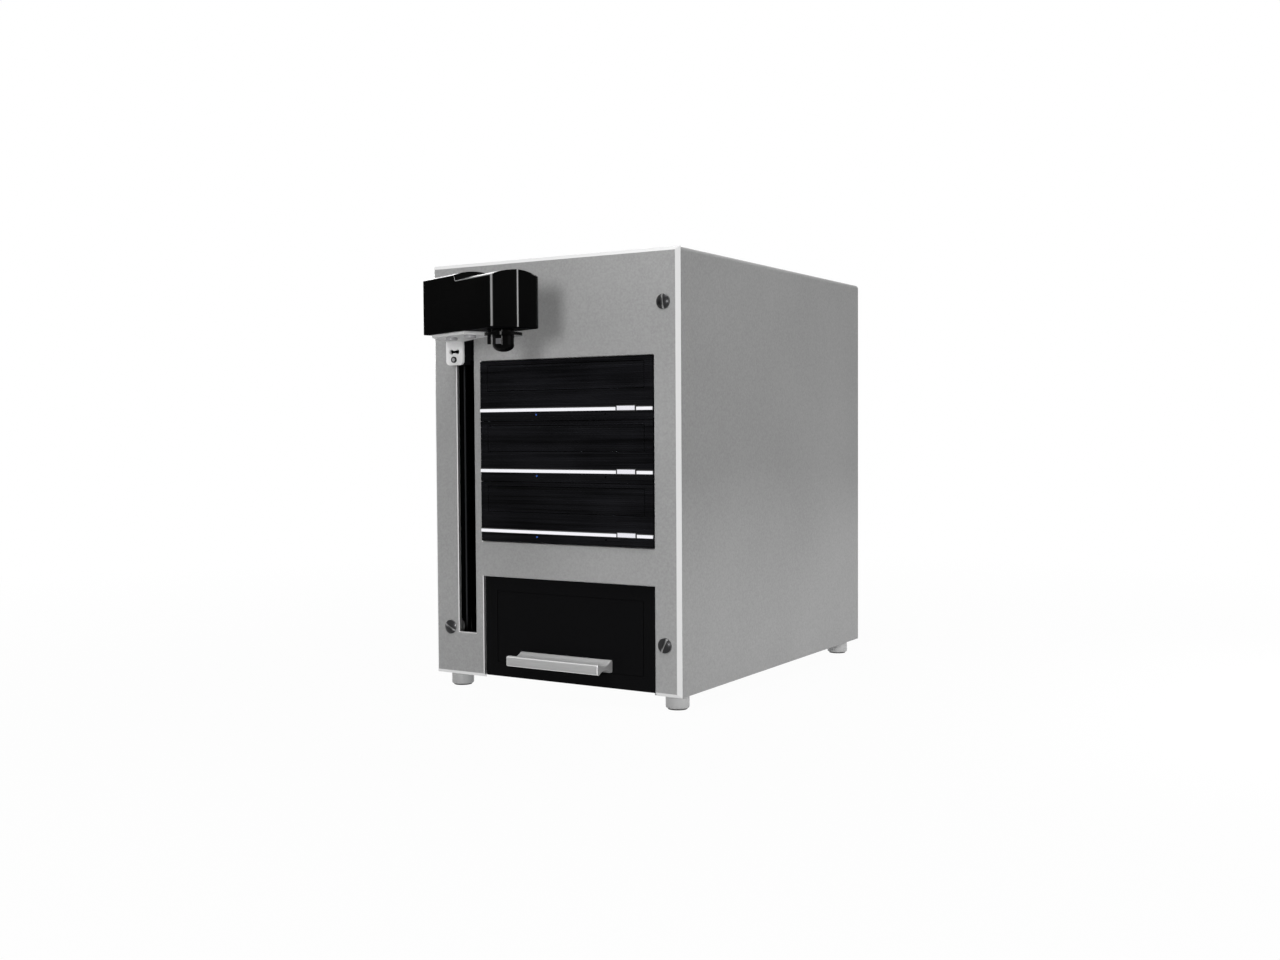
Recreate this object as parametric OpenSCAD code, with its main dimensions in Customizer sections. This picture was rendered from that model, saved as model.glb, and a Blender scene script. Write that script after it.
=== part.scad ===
// Automated disc duplicator: a tower with three tray drives, a disc drawer
// and a lift arm that carries discs between them on a gripper.
// Millimetres, +Z up, front towards -Y. The origin is on the floor, in the
// middle of the machine's outline. Sizes below are taken from the left side,
// the front face and the underside of the case.

/* [Case] */
// Width of the case
case_w = 211.5; // [208:0.5:230]
// Depth of the case behind its front face
case_d = 308; // [304:1:340]
// Height of the case without its feet
case_h = 303; // [300:1:320]
// Thickness of the front panel's face
panel_t = 3; // [3:0.25:4]
// Depth of the flange folded back behind the front panel
rim_d = 8.5; // [8:0.25:10]
// Wall of that flange
rim_t = 1.5; // [1.2:0.1:1.8]
// Chamfer around the front panel
edge_chamfer = 2.7; // [1:0.1:2.8]
// Chamfer on the edges of the panel's cut-outs
cut_chamfer = 0.5; // [0.2:0.1:1]
// Sheet of the cover, frames and rear panel
sheet_t = 1.5; // [1:0.1:1.8]
// Outer radius of the cover's two top bends
bend_r = 3; // [2:0.5:6]
// Width of the cover's flanges under the base plate
flange_w = 22; // [18:1:26]
// Thickness of the base plate
base_t = 2; // [1.5:0.25:3]
// How far the rear panel sits inside the cover
rear_inset = 5; // [4:0.5:8]
// Gap left between fixed sheet parts
seam = 0.4; // [0.2:0.1:0.6]

/* [Feet and screws] */
// Diameter of a foot
foot_d = 16.5; // [14:0.5:20]
// Height of a foot with its pad
foot_h = 10.5; // [8:0.5:14]
// Thickness of the rubber pad under a foot
pad_t = 0.8; // [0.6:0.1:2]
// Distance of the feet from the sides
foot_inset_x = 12; // [11:0.5:14]
// Distance of the feet from the front and back
foot_inset_y = 17; // [17:0.5:30]
// Head diameter of the front panel screws
head_d = 10; // [9:0.2:11]
// Distance of the left front panel screws from the left side
screw_left = 14.6; // [13:0.2:15]
// Distance of the right front panel screws from the right side
screw_right = 12; // [11:0.2:13]
// Height of the lower front panel screws
screw_low = 35; // [30:1:60]
// Distance of the upper front panel screws below the top
screw_drop = 36.5; // [34:0.5:40]

/* [Drives] */
// Left edge of the drive bay in the front panel
bay_x = 44.8; // [44.5:0.1:50]
// Bottom edge of the drive bay
bay_z = 100.3; // [96:0.1:106]
// Space to the right of the drive bay
bay_right = 19.7; // [19:0.1:24]
// Height of a drive's bezel
bezel_h = 43.1; // [43:0.1:46]
// Length of a drive's case behind its bezel
drive_l = 165; // [162:1:180]
// How far the bezels stand proud of the front panel
bezel_proud = 1; // [0.5:0.1:3]
// Spacing of the fine ribs on the bezels
rib_pitch = 1.25; // [1:0.05:2]
// Depth of those ribs
rib_depth = 0.25; // [0.1:0.05:0.4]
// Bezel left on each side of the tray door
door_side = 6.85; // [6:0.05:9]
// Height of the tray door
door_h = 18; // [16:0.5:18.4]
// Height of the tray door above the bezel's bottom
door_z = 21.8; // [21:0.1:22.2]
// Height of the bright strip's middle above the bezel's bottom
strip_z = 8; // [7:0.5:10]
// Height of the bright strip
strip_h = 3; // [2:0.2:4]
// Width of the eject button
button_w = 15.6; // [12:0.2:18]
// Middle of the eject button from the bezel's right edge
button_inset = 21; // [18:0.5:30]
// Tray left on each side of a disc
tray_side = 5.5; // [5:0.25:7]

/* [Lift] */
// Left edge of the arm's slot
slot_x = 22.5; // [22:0.1:23.5]
// Width of the arm's slot
slot_w = 16; // [15:0.5:17]
// Bottom of the arm's slot
slot_bottom = 32; // [28:1:40]
// Distance of the slot's top below the top of the case
slot_drop = 53; // [48:0.5:54]
// Diameter of the two guide rods
rod_d = 8; // [6:0.5:9]
// Running clearance of the carriage on the rods
rod_gap = 0.05; // [0.03:0.01:0.1]
// Height of the carriage block
block_h = 30; // [24:1:34]
// Pitch radius of the belt pulleys
pulley_r = 8; // [7.5:0.25:8.5]
// Width of the toothed belt
belt_w = 6; // [5:0.5:7]
// Thickness of the toothed belt
belt_t = 1.4; // [1:0.1:1.8]
// Size of the square lift motor
motor_s = 35; // [32:1:35]
// Diameter of the motor's shaft and the idler's axle
shaft_d = 5; // [4:0.5:6]

/* [Arm] */
// Distance from the middle of the slot to the housing's root
arm_root = 14.13; // [12:0.01:16]
// Width of the arm housing
arm_w = 36; // [34:0.5:38]
// Distance of the underside of the arm below the top of the case
arm_drop = 55.65; // [55:0.05:57]
// Height of the housing's sides
arm_side_h = 33.6; // [30:0.2:36]
// Rise of the housing's arched top
arm_crown = 3.7; // [2:0.1:5]
// Step up to the root half of the housing
arm_step = 3.7; // [2:0.1:5]
// Length of the raised root half
arm_root_l = 46; // [40:1:52]
// How far the housing's end comes to a ridge
arm_prow = 3; // [1:0.25:4]
// Wall of the arm housing
arm_wall = 2; // [1.5:0.25:2.5]
// Turn of the arm away from the front panel, in degrees
arm_turn = 22.6; // [21:0.2:24]
// Distance of the gripper's axis in front of the case
grip_reach = 69; // [68:0.5:72]
// Distance of the gripper's axis from the housing's end
grip_inset = 15.8; // [14:0.2:17]
// Diameter of the gripper's nose
nose_d = 14.4; // [14:0.1:14.8]
// Length of the nose below the arm
nose_l = 15; // [14.6:0.1:15.4]
// Diameter of the plate that stops on the disc
stop_d = 25; // [23:0.5:26]
// Thickness of the arm's bracket
bracket_t = 2; // [1.5:0.25:2.5]
// Gap between the front panel and the bracket
bracket_gap = 10; // [9:0.5:11]

/* [Drawer] */
// Distance of the drawer's opening from the drive bay's left edge
drawer_step = 0.7; // [0:0.1:2]
// Top edge of the drawer's opening
drawer_top = 74.6; // [72:0.2:90]
// Thickness of the drawer front
front_t = 5; // [4:0.25:5]
// Gap around the drawer front
drawer_gap = 0.4; // [0.3:0.1:0.8]
// Height of the platform that the discs lie on
platform_z = 40.5; // [39:0.5:40.5]
// Height of the rim around the platform
bin_rim = 4; // [2:0.25:4]
// Wall of the disc bin
bin_wall = 2.5; // [2:0.25:3]
// Length of the disc bin
bin_l = 150; // [140:1:150]
// Height of the disc guide posts above the platform
post_h = 31; // [20:1:32]
// Length of the handle
handle_l = 77.5; // [60:0.5:100]
// Depth of the handle in front of the drawer
handle_d = 19; // [16:0.5:24]
// Height of the handle's front bar
bar_h = 7; // [6:0.2:9]
// Height of the handle's rear flange
handle_h = 8.8; // [7:0.2:10]
// Height of the handle's middle above the case's underside
handle_z = 16.8; // [12:0.2:22]
// How far the handle stands right of the drawer's middle
handle_shift = -2; // [-10:0.5:10]
// Thickness of one member of the drawer slides
slide_t = 1.2; // [1:0.1:1.4]
// Running gap in the drawer slides
slide_gap = 0.4; // [0.3:0.05:0.5]

/* [Power] */
// Width of the power supply
supply_w = 125; // [120:1:140]
// Height of the power supply
supply_h = 63.5; // [63:0.5:70]
// Length of the power supply
supply_l = 100; // [90:1:105]
// Left side of the power supply
supply_x = 52; // [48:1:60]
// Size of the square fan
fan_s = 60; // [58:0.5:61]
// Depth of the fan
fan_d = 20; // [16:1:26]

/* [Hidden] */
$fn = 48;
eps = 1;

silver = [0.66, 0.67, 0.68];
bright = [0.85, 0.86, 0.87];
zinc = [0.78, 0.79, 0.8];
black = [0.05, 0.05, 0.055];
dark = [0.13, 0.13, 0.14];

// Panel and base levels
base_z = sheet_t;
deck_z = base_z + base_t;
rear_y = case_d - rear_inset - sheet_t;
cover_y = panel_t + seam;
base_y = rim_d + seam;
inner_x = sheet_t + seam;
rim_in = inner_x + rim_t;
corner_cut = bend_r / 2;
boss_d = head_d + 3;
screw_d = 5;
screw_gap = 0.2;
head_sink = 1;
head_h = 2;
screw_end = 1.5;
hex_share = 0.8;
screw_high = case_h - screw_drop;
screw_points = [for (x = [screw_left, case_w - screw_right], z = [screw_low, screw_high]) [x, z]];
rear_flange = 10;
rear_flange_gap = 3;

// Drive bay, counted from the top drive down
drive_count = 3;
bay_gap = 0.4;
bay_w = case_w - bay_x - bay_right;
bezel_w = bay_w - 2 * bay_gap;
bay_cx = bay_x + bay_w / 2;
drive_pitch = bezel_h + bay_gap;
bay_h = drive_count * drive_pitch + bay_gap;
function drive_z(i) = bay_z + bay_gap + (drive_count - i) * drive_pitch;
bezel_t = 4;
bezel_d = 6;
face_y = -bezel_proud;
bezel_back = face_y + bezel_t;
case_y = face_y + bezel_d;
drive_w = bezel_w - 0.2;
drive_h = bezel_h - 1.5;
shell_t = 1;
bezel_wall = 2;
door_gap = 0.4;
button_h = strip_h + 1;
button_gap = 0.5;
button_cx = bay_cx + bezel_w / 2 - button_inset;
button_proud = 0.5;
button_stop = 1.2;
button_wide = 1.5;
strip_sink = 0.7;
strip_proud = 0.3;
lamp_d = 1.4;
lamp_gap = 0.05;
lamp_proud = 0.2;
lamp_short = 0.5;
lamp_inset = 50;
lamp_x = bay_cx - bezel_w / 2 + lamp_inset;
lamp_z = 4.2;
pinhole_d = 1.4;
pinhole_inset = 38;
door_w = bezel_w - 2 * door_side;
tray_w = door_w - 1.5;
disc_d = tray_w - 2 * tray_side;
tray_t = 7;
tray_z = door_z + 4.2;
tray_l = drive_l - 3;
tray_travel = 139;
door_t = bezel_t;
disc_y = tray_travel - grip_reach;
disc_rest_d = disc_d + 2;
guide_gap = 0.3;
guide_t = 3;
guide_reach = 4;
guide_short = 24;
guide_l = drive_l - guide_short;
works_y = 24;
works_h = 10;
spindle_d = 26;
spindle_gap = 1.5;
small_disc_d = 0.675 * disc_d;
rest_deep = 2;
hub_hole_d = 34;
hub_slot_end = 22;

// Inner frames on either side of the drives
frame_in_left = bay_cx - drive_w / 2 - 0.2;
frame_in_right = bay_cx + drive_w / 2 + 0.2;
frame_y = rim_d + sheet_t + seam;
frame_end = case_y + drive_l + 8;
frame_over = 18;
frame_top = screw_high + frame_over;
frame_foot = 12;
frame_gap = 8;
frame_hole_d = 3.4;
frame_hole_y = [45, 125];
frame_hole_z = 12;

// Lift behind the slot
slot_top = case_h - slot_drop;
arm_z = case_h - arm_drop;
lift_x = 2 * sheet_t;
lift_right = frame_in_left - 2 * sheet_t - 1.6;
lift_y = rim_d;
lift_web_y = 64;
lift_end_t = 3;
lift_lip = 2.7;
lift_top = case_h - 12;
rod_a = [lift_x + sheet_t + 1 + rod_d / 2 + 2.5, 22];
rod_b = [lift_right - sheet_t - 1 - rod_d / 2 - 2.5, 34];
rod_z0 = deck_z + lift_end_t;
rod_z1 = lift_top - lift_end_t;
block_x0 = lift_x + sheet_t + 1;
block_x1 = lift_right - sheet_t - 1;
block_y0 = 15;
block_y1 = 42;
block_z = arm_z - 17.35;
neck_gap = 1.2;
neck_z = block_z + 2.5;
neck_h = 14;
belt_x = (lift_x + lift_right) / 2;
belt_y = 50;
belt_gap = 0.3;
pulley_low_z = deck_z + motor_s / 2 + 3;
pulley_high_z = rod_z1 - 16;
pulley_body_r = pulley_r - belt_t / 2 - belt_gap;
pulley_rim_r = pulley_r + belt_t / 2 + 1.1;
rim_plate = 1;
rim_gap = 0.4;
teeth = 20;
tooth_r = 0.6;
axle_gap = 0.05;
axle_y0 = belt_y - rim_plate - rim_gap - 2;
axle_head_d = shaft_d + 3;
axle_head_t = 1;
motor_l = 34;
motor_y = lift_web_y + sheet_t;
pilot_d = 20;
pilot_gap = 0.2;
shaft_in = 8;
clamp_w = 10;
clamp_h = 12;
clamp_z = block_z + 6;
clamp_end = 1;
plate_screw_deep = 8;
neck_pad_gap = 2;
neck_pad_up = 0.5;
key_hole_d = 2.5;
key_hole_deep = 4;

// Arm frame: x runs along the housing to its end, y towards the case
arm_origin = (bay_cx - slot_x - slot_w / 2 - arm_root) / cos(arm_turn);
arm_l = arm_origin + grip_inset;
grip_at = [bay_cx, -grip_reach];
function arm_to_case(p) = grip_at + [
    (p[0] - arm_origin) * cos(arm_turn) + (p[1] - arm_w / 2) * sin(arm_turn),
    (arm_origin - p[0]) * sin(arm_turn) + (p[1] - arm_w / 2) * cos(arm_turn)];
arm_edge_r = 1.6;
arm_ridge_r = 1.2;
arm_corner_r = 3.5;
arm_outline = [[0, 0], [arm_l, 0], [arm_l + arm_prow, arm_w / 2], [arm_l, arm_w], [0, arm_w]];
arm_radii = [arm_edge_r, arm_edge_r, arm_ridge_r, arm_corner_r, arm_edge_r];
arm_base_t = 2;
arm_fit = 0.2;
step_run = 4;
arm_top_h = arm_side_h + arm_step + arm_crown;
crown_r = (pow(arm_w / 2, 2) + pow(arm_crown, 2)) / (2 * arm_crown);
stop_t = 2;
stop_z = arm_z - nose_l + 10.6;
dome_h = 4.5;
finger_h = 3.6;
finger_w = 3.8;
finger_gap = 0.2;
finger_z = arm_z - nose_l + 5;
finger_in = 3.4;
finger_out = nose_d / 2 - 0.2;
bore_r = 4.7;
cone_r = 4.2;
cone_tip_r = 2.6;
cone_h = 5;
cone_z = finger_z + 2.4;
stem_r = 3;
cone_back = 1.2;
stem_end = 3.5;
pin_d = 2.4;
pin_gap = 0.05;
pin_at = [arm_origin - 5.5, arm_w / 2 - 7.6];
pin_drop = 5.5;
pin_collar_h = 1.5;
pin_collar_gap = 0.3;
pin_end = 1;
solenoid_d = 13.6;
solenoid_h = 20;
solenoid_z = arm_z + arm_base_t;
solenoid_mouth = 4;
bracket_x0 = slot_x + 0.3;
bracket_w = slot_w - 0.7;
bracket_drop = 18.9;
bracket_z = arm_z - bracket_drop;
bracket_r = 3;
bend_edge_r = 0.01;
leg_near = 6;
leg_far = 52;
leg_front = 4;
leg_back = 30;
leg_turn_x = 24;
leg_turn_y = 32;
leg_inset = 10;
bracket_leg = [[leg_near, leg_front], [leg_far, leg_front], [leg_far, leg_back], [leg_turn_x, leg_turn_y]];
leg_screws = [[leg_near + leg_inset, leg_front + leg_inset], [leg_far - leg_inset, leg_front + leg_inset]];
leg_screw_d = 4;
plate_screw_up = 3.9;
plate_screw = [bracket_x0 + bracket_w / 2, bracket_z + plate_screw_up];
plate_screw_d = 3;
plate_head_d = 4.4;
plate_head_h = 1.2;
plate_screw_l = 7;
leg_head_h = 1.8;
leg_screw_end = 1.5;
key_up = 9.6;
key_z = bracket_z + key_up;
key_d = 3.6;
key_span = 5.4;
key_waist = 2;

// Drawer
drawer_x = bay_x + drawer_step;
drawer_w = bay_w - drawer_step;
drawer_cx = drawer_x + drawer_w / 2;
drawer_y = panel_t;
drawer_z = 1.5;
drawer_front_w = drawer_w - 2 * drawer_gap;
drawer_front_h = drawer_top - drawer_gap - drawer_z;
slide_d = 5 * slide_t + 2 * slide_gap;
slide_z = 11;
slide_h = 21;
slide_y = frame_y;
slide_l = bin_l;
bin_x0 = frame_in_left + slide_d;
bin_x1 = frame_in_right - slide_d;
bin_y = drawer_y + front_t;
bin_z = 8;
stack_cx = bay_cx;
stack_y = disc_y;
stack_d = disc_d + 3;
post_d = 8;
post_r = stack_d / 2 + post_d / 2 - 1;
nose_hole_d = nose_d + 12;
line_inset = 10;
line_w = 0.8;
line_deep = 0.5;
bar_r = 1.2;
flange_r = 0.5;
bar_t = 2.5;
trough_deep = 2.3;
trough_w = handle_d - 2 * bar_t;
trough_r = (pow(trough_w / 2, 2) + pow(trough_deep, 2)) / (2 * trough_deep);

// Power supply and rear
supply_y = rear_y - supply_l;
supply_z = deck_z;
supply_slots = 9;
supply_slot_w = 4;
supply_slot_pitch = 10;
supply_slot_x = 20;
supply_slot_inset = 14;
fan_cx = supply_x + supply_w - fan_s / 2 - 2;
fan_cz = supply_z + supply_h / 2;
fan_bore = fan_s - 4;
fan_y = rear_y - shell_t - fan_d;
hub_d = 24;
fan_blades = 7;
fan_tip_gap = 1;
fan_pin_d = 4;
fan_screw_d = 4.4;
fan_arm_t = 2;
fan_arm_w = 4;
rotor_y = 2.5;
blade_t = 1.4;
blade_w = 18;
blade_turn = 38;
inlet_inset = 27;
inlet_cx = supply_x + inlet_inset;
inlet_w = 27;
inlet_h = 48;
inlet_lip = 2;
inlet_deep = 24;
socket_w = 24;
socket_h = 16.5;
socket_deep = 16;
socket_corner = 5;
socket_z = fan_cz - 12;
inlet_rim = 3;
blade_points = [[-7, -2], [0, 2], [7, -2]];
blade_size = [2, 12, 4];
rocker_w = 18;
rocker_h = 13;
rocker_z = fan_cz + 14;
rocker_pin_d = 3;
rocker_gap = 0.3;
rocker_y = rear_y + sheet_t + inlet_lip;
rocker_sink = 4;
rocker_deep = 12;
rocker_end = 2;
rocker_hole_end = 0.5;
rocker_tilt = 9;
rocker_half = rocker_h / 2 - 0.6;
rocker_form = [[-4, -3], [-4, 3], [3.2, rocker_half], [2.8, 0], [3.2, -rocker_half]];
board_w = 96;
board_l = 80;
board_t = 1.6;
board_x = supply_x + 12;
board_z = supply_z + supply_h + 6;
board_post_d = 5;
board_post_inset = 6;
// Place and size of each chip and plug on the board
board_items = [[[40, 26], [22, 22, 2]], [[12, 20], [12, 8, 2]],
    [[10, 3], [40, 7, 9]], [[72, 3], [16, 9, 12]]];
port_w = 12;
port_h = 11;
port_l = 16;
port_wall = 1.7;
port_deep = 9;
port_out = 0.8;
vent_w = 4;
vent_l = 60;
vent_pitch = 9;
vent_count = 12;
vent_top = 40;
vent_space = 20;
vent_row = vent_l + vent_space;

// The machine reaches from the arm's far corner to the cover's rear edge
front_reach = -min([for (p = rounded(arm_outline, arm_radii)) arm_to_case(p)[1]]);
mid_y = (case_d - front_reach) / 2;

function unit(v) = v / norm(v);
function turn(a, b) = let(d = b - a) d > 180 ? d - 360 : d < -180 ? d + 360 : d;
// Points of an arc of radius r that rounds the corner b between a and c
function round_corner(a, b, c, r, n) =
    let(p = unit(a - b), q = unit(c - b), half = acos(p * q) / 2,
        m = b + unit(p + q) * r / sin(half),
        s = b + p * r / tan(half) - m, e = b + q * r / tan(half) - m,
        from = atan2(s[1], s[0]), sweep = turn(from, atan2(e[1], e[0])))
    [for (k = [0:n]) m + r * [cos(from + sweep * k / n), sin(from + sweep * k / n)]];
function rounded(pts, radii, n = 6) = let(count = len(pts))
    [for (i = [0:count - 1])
        each round_corner(pts[(i + count - 1) % count], pts[i], pts[(i + 1) % count], radii[i], n)];
function rect(x, y, w, h) = [[x, y], [x + w, y], [x + w, y + h], [x, y + h]];

module place() translate([-case_w / 2, -mid_y, foot_h]) children();
module box(x, y, z, w, d, h) translate([x, y, z]) cube([w, d, h]);
// A drawing in X and Z carried along Y, and one in Y and Z carried along X
module along_y(y, l) translate([0, y + l, 0]) rotate([90, 0, 0]) linear_extrude(l) children();
module along_x(x, l) translate([x, 0, 0]) rotate([90, 0, 90]) linear_extrude(l) children();
module rod_y(x, y, z, d, l) translate([x, y, z]) rotate([-90, 0, 0]) cylinder(d = d, h = l);
module in_arm() translate(grip_at) rotate(-arm_turn) translate([-arm_origin, -arm_w / 2, arm_z]) children();

// A window through the front panel with a chamfer on its front edge
module window(x, z, w, h) {
    box(x, -eps, z, w, rim_d + 2 * eps, h);
    intersection() {
        translate([0, 0, z - 2 * eps]) linear_extrude(h + 4 * eps)
            polygon([[x - cut_chamfer - eps, -eps], [x + w + cut_chamfer + eps, -eps],
                [x + w, cut_chamfer], [x, cut_chamfer]]);
        along_x(x - 2 * eps, w + 4 * eps)
            polygon([[-eps, z - cut_chamfer - eps], [-eps, z + h + cut_chamfer + eps],
                [cut_chamfer, z + h], [cut_chamfer, z]]);
    }
}

// What fits inside the cover from height z up, its top corners cut clear of the bends
module inside_cover(z) {
    right = case_w - inner_x;
    top = case_h - inner_x;
    polygon([[inner_x, z], [right, z], [right, top - corner_cut], [right - corner_cut, top],
        [inner_x + corner_cut, top], [inner_x, top - corner_cut]]);
}

// Chamfered plate with a flange folded back inside the cover
module front_panel() color(silver) place() difference() {
    union() {
        intersection() {
            linear_extrude(case_h)
                polygon([[0, edge_chamfer], [edge_chamfer, 0], [case_w - edge_chamfer, 0],
                    [case_w, edge_chamfer], [case_w, panel_t], [0, panel_t]]);
            along_x(0, case_w)
                polygon([[edge_chamfer, 0], [panel_t, 0], [panel_t, case_h], [edge_chamfer, case_h],
                    [0, case_h - edge_chamfer], [0, edge_chamfer]]);
        }
        along_y(panel_t / 2, rim_d - panel_t / 2) difference() {
            inside_cover(inner_x);
            offset(delta = -rim_t) inside_cover(inner_x);
        }
        for (p = screw_points) rod_y(p[0], panel_t / 2, p[1], boss_d, rim_d - panel_t / 2);
    }
    window(slot_x, slot_bottom, slot_w, slot_top - slot_bottom);
    window(bay_x, bay_z, bay_w, bay_h);
    window(drawer_x, -2 * eps, drawer_w, drawer_top + 2 * eps);
    for (p = screw_points) {
        rod_y(p[0], -eps, p[1], screw_d + 2 * screw_gap, rim_d + 2 * eps);
        rod_y(p[0], -eps, p[1], head_d + 4 * screw_gap, head_sink + eps);
    }
}

// The cover's section: two sides, two bends, the top and two flanges below
module bent_top(x, z, w, h, r) {
    translate([x, z]) square([w, h - r]);
    translate([x + r, z]) square([w - 2 * r, h]);
    for (cx = [x + r, x + w - r]) translate([cx, z + h - r]) circle(r);
}

module wrap_cover() color(silver) place() difference() {
    along_y(cover_y, case_d - cover_y) difference() {
        bent_top(0, 0, case_w, case_h, bend_r);
        bent_top(sheet_t, sheet_t, case_w - 2 * sheet_t, case_h - 2 * sheet_t, bend_r - sheet_t);
        translate([flange_w, -eps]) square([case_w - 2 * flange_w, sheet_t + 2 * eps]);
    }
    cover_screw_holes(screw_gap);
}

cover_screw_x = [flange_w / 2, case_w - flange_w / 2];
cover_screw_y = [for (k = [1:3]) cover_y + k * (case_d - cover_y) / 4];
cover_screw_d = 4;
module cover_screw_holes(gap) for (x = cover_screw_x, y = cover_screw_y)
    translate([x, y, -eps]) cylinder(d = cover_screw_d + 2 * gap, h = deck_z + 2 * eps);

module cover_screws() color(dark) place() for (x = cover_screw_x, y = cover_screw_y) difference() {
    union() {
        translate([x, y, -head_h]) cylinder(d = 2 * cover_screw_d, h = head_h);
        translate([x, y, -eps]) cylinder(d = cover_screw_d, h = deck_z + eps);
    }
    translate([x, y, -head_h - eps]) cylinder(d = cover_screw_d * hex_share, h = head_h / 2 + eps, $fn = 6);
}

module base_plate() color(zinc) place() difference() {
    box(inner_x, base_y, base_z, case_w - 2 * inner_x, rear_y - base_y, base_t);
    cover_screw_holes(screw_gap);
}

// Rear panel with its foot flange and the cut-outs for the supply, port and vents
module rear_panel() color(silver) place() difference() {
    union() {
        along_y(rear_y, sheet_t) inside_cover(deck_z);
        left_w = supply_x - rear_flange_gap - inner_x;
        right_x = supply_x + supply_w + rear_flange_gap;
        box(inner_x, rear_y - rear_flange, deck_z, left_w, rear_flange + sheet_t, sheet_t);
        box(right_x, rear_y - rear_flange, deck_z,
            case_w - inner_x - right_x, rear_flange + sheet_t, sheet_t);
    }
    rod_y(fan_cx, rear_y - eps, fan_cz, fan_bore, sheet_t + 2 * eps);
    box(inlet_cx - inlet_w / 2 - seam, rear_y - eps, fan_cz - inlet_h / 2 - seam,
        inlet_w + 2 * seam, sheet_t + 2 * eps, inlet_h + 2 * seam);
    box(port_x - seam, rear_y - eps, board_z + board_t - seam, port_w + 2 * seam,
        sheet_t + 2 * eps, port_h + 2 * seam);
    for (k = [0:vent_count - 1], z = [0, 1]) {
        vent_x = case_w / 2 + (k - (vent_count - 1) / 2) * vent_pitch;
        translate([vent_x, 0, case_h - vent_top - vent_l - z * vent_row])
            along_y(rear_y - eps, sheet_t + 2 * eps) vent();
    }
    for (p = fan_screws) rod_y(p[0], rear_y - eps, p[1], fan_screw_d, sheet_t + 2 * eps);
}

module vent() {
    translate([-vent_w / 2, 0]) square([vent_w, vent_l]);
    for (z = [0, vent_l]) translate([0, z]) circle(d = vent_w);
}

// Sheet frames that carry the drives and the drawer slides
module frame_side(x) box(x, frame_y, deck_z, sheet_t, frame_end - frame_y, frame_top - deck_z);
module frame_holes(x) for (i = [1:drive_count], y = frame_hole_y)
    translate([x - eps, case_y + y, drive_z(i) + frame_hole_z]) rotate([0, 90, 0])
        cylinder(d = frame_hole_d, h = sheet_t + 2 * eps);

module frame_left() color(zinc) place() difference() {
    union() {
        frame_side(frame_in_left - sheet_t);
        foot_y = motor_y + motor_l + frame_gap;
        box(frame_in_left - frame_foot, foot_y, deck_z,
            frame_foot - sheet_t / 2, frame_end - foot_y, sheet_t);
    }
    frame_holes(frame_in_left - sheet_t);
}

module frame_right() color(zinc) place() difference() {
    union() {
        frame_side(frame_in_right);
        ear_z = deck_z + frame_gap;
        box(frame_in_right, rim_d, ear_z, case_w - rim_in - frame_in_right, sheet_t, frame_top - ear_z);
        box(frame_in_right, rim_d, ear_z, sheet_t, frame_y - rim_d + eps, frame_top - ear_z);
        box(frame_in_right, frame_y, deck_z, frame_foot, frame_end - frame_y, sheet_t);
    }
    frame_holes(frame_in_right);
    for (p = screw_points) rod_y(p[0], rim_d - eps, p[1], screw_d + 2 * screw_gap, sheet_t + 2 * eps);
}

// Slotted screws that hold the front panel
screw_turns = [28, 74, -64, 84];
screw_slot = 1.6;
module front_screws() color(dark) place() for (k = [0:len(screw_points) - 1]) difference() {
    p = screw_points[k];
    union() {
        rod_y(p[0], head_sink - head_h, p[1], head_d, head_h);
        rod_y(p[0], head_sink - eps, p[1], screw_d, rim_d + sheet_t + screw_end - head_sink + eps);
    }
    translate([p[0], head_sink - head_h, p[1]]) rotate([0, screw_turns[k], 0])
        cube([2 * head_d, head_h, screw_slot], center = true);
}

foot_x = [foot_inset_x, case_w - foot_inset_x];
foot_y = [foot_inset_y, case_d - foot_inset_y];
foot_points = [for (x = foot_x, y = foot_y) [x, y]];
foot_edge = 0.8;
pad_d = foot_d - 3;
module feet() color(bright) place() for (p = foot_points) translate([p[0], p[1], pad_t - foot_h])
    rotate_extrude() polygon([[0, 0], [foot_d / 2 - foot_edge, 0], [foot_d / 2, foot_edge],
        [foot_d / 2, foot_h - pad_t], [0, foot_h - pad_t]]);

module foot_pads() color(dark) place() for (p = foot_points)
    translate([p[0], p[1], -foot_h]) cylinder(d = pad_d, h = pad_t);

// Drive case: a sheet box, open in front, with ledges that guide the tray
module drive_case(i) color(zinc) place() translate([bay_cx, case_y, drive_z(i)]) {
    half = drive_w / 2;
    difference() {
        box(-half, 0, 0, drive_w, drive_l, drive_h);
        box(shell_t - half, -eps, shell_t,
            drive_w - 2 * shell_t, drive_l - shell_t + eps, drive_h - 2 * shell_t);
    }
    guide_w = half - tray_w / 2 - guide_gap;
    for (side = [-1, 1]) {
        guide_x = half - guide_w / 2 - shell_t / 2;
        translate([side * guide_x, drive_l / 2, tray_z + tray_t / 2])
            cube([guide_w - shell_t, guide_l, tray_t], center = true);
        translate([side * (guide_x - guide_reach / 2), drive_l / 2, tray_z - guide_gap - guide_t / 2])
            cube([guide_w - shell_t + guide_reach, guide_l, guide_t], center = true);
    }
    box(shell_t / 2 - half, works_y, shell_t / 2,
        drive_w - shell_t, drive_l - works_y - shell_t / 2, works_h);
    translate([0, disc_y - case_y, works_h]) cylinder(d = spindle_d, h = tray_z - works_h - spindle_gap);
}

// Bezel section with its fine ribs, cut for the door, strip, button and lamp
module ribbed(z0, z1, back) {
    count = floor((z1 - z0) / rib_pitch);
    step = (z1 - z0) / count;
    polygon(concat([[back, z0], [back, z1]],
        [for (k = [count:-1:1])
            each [[face_y, z0 + k * step], [face_y + rib_depth, z0 + (k - 0.5) * step]]],
        [[face_y, z0]]));
}

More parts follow.
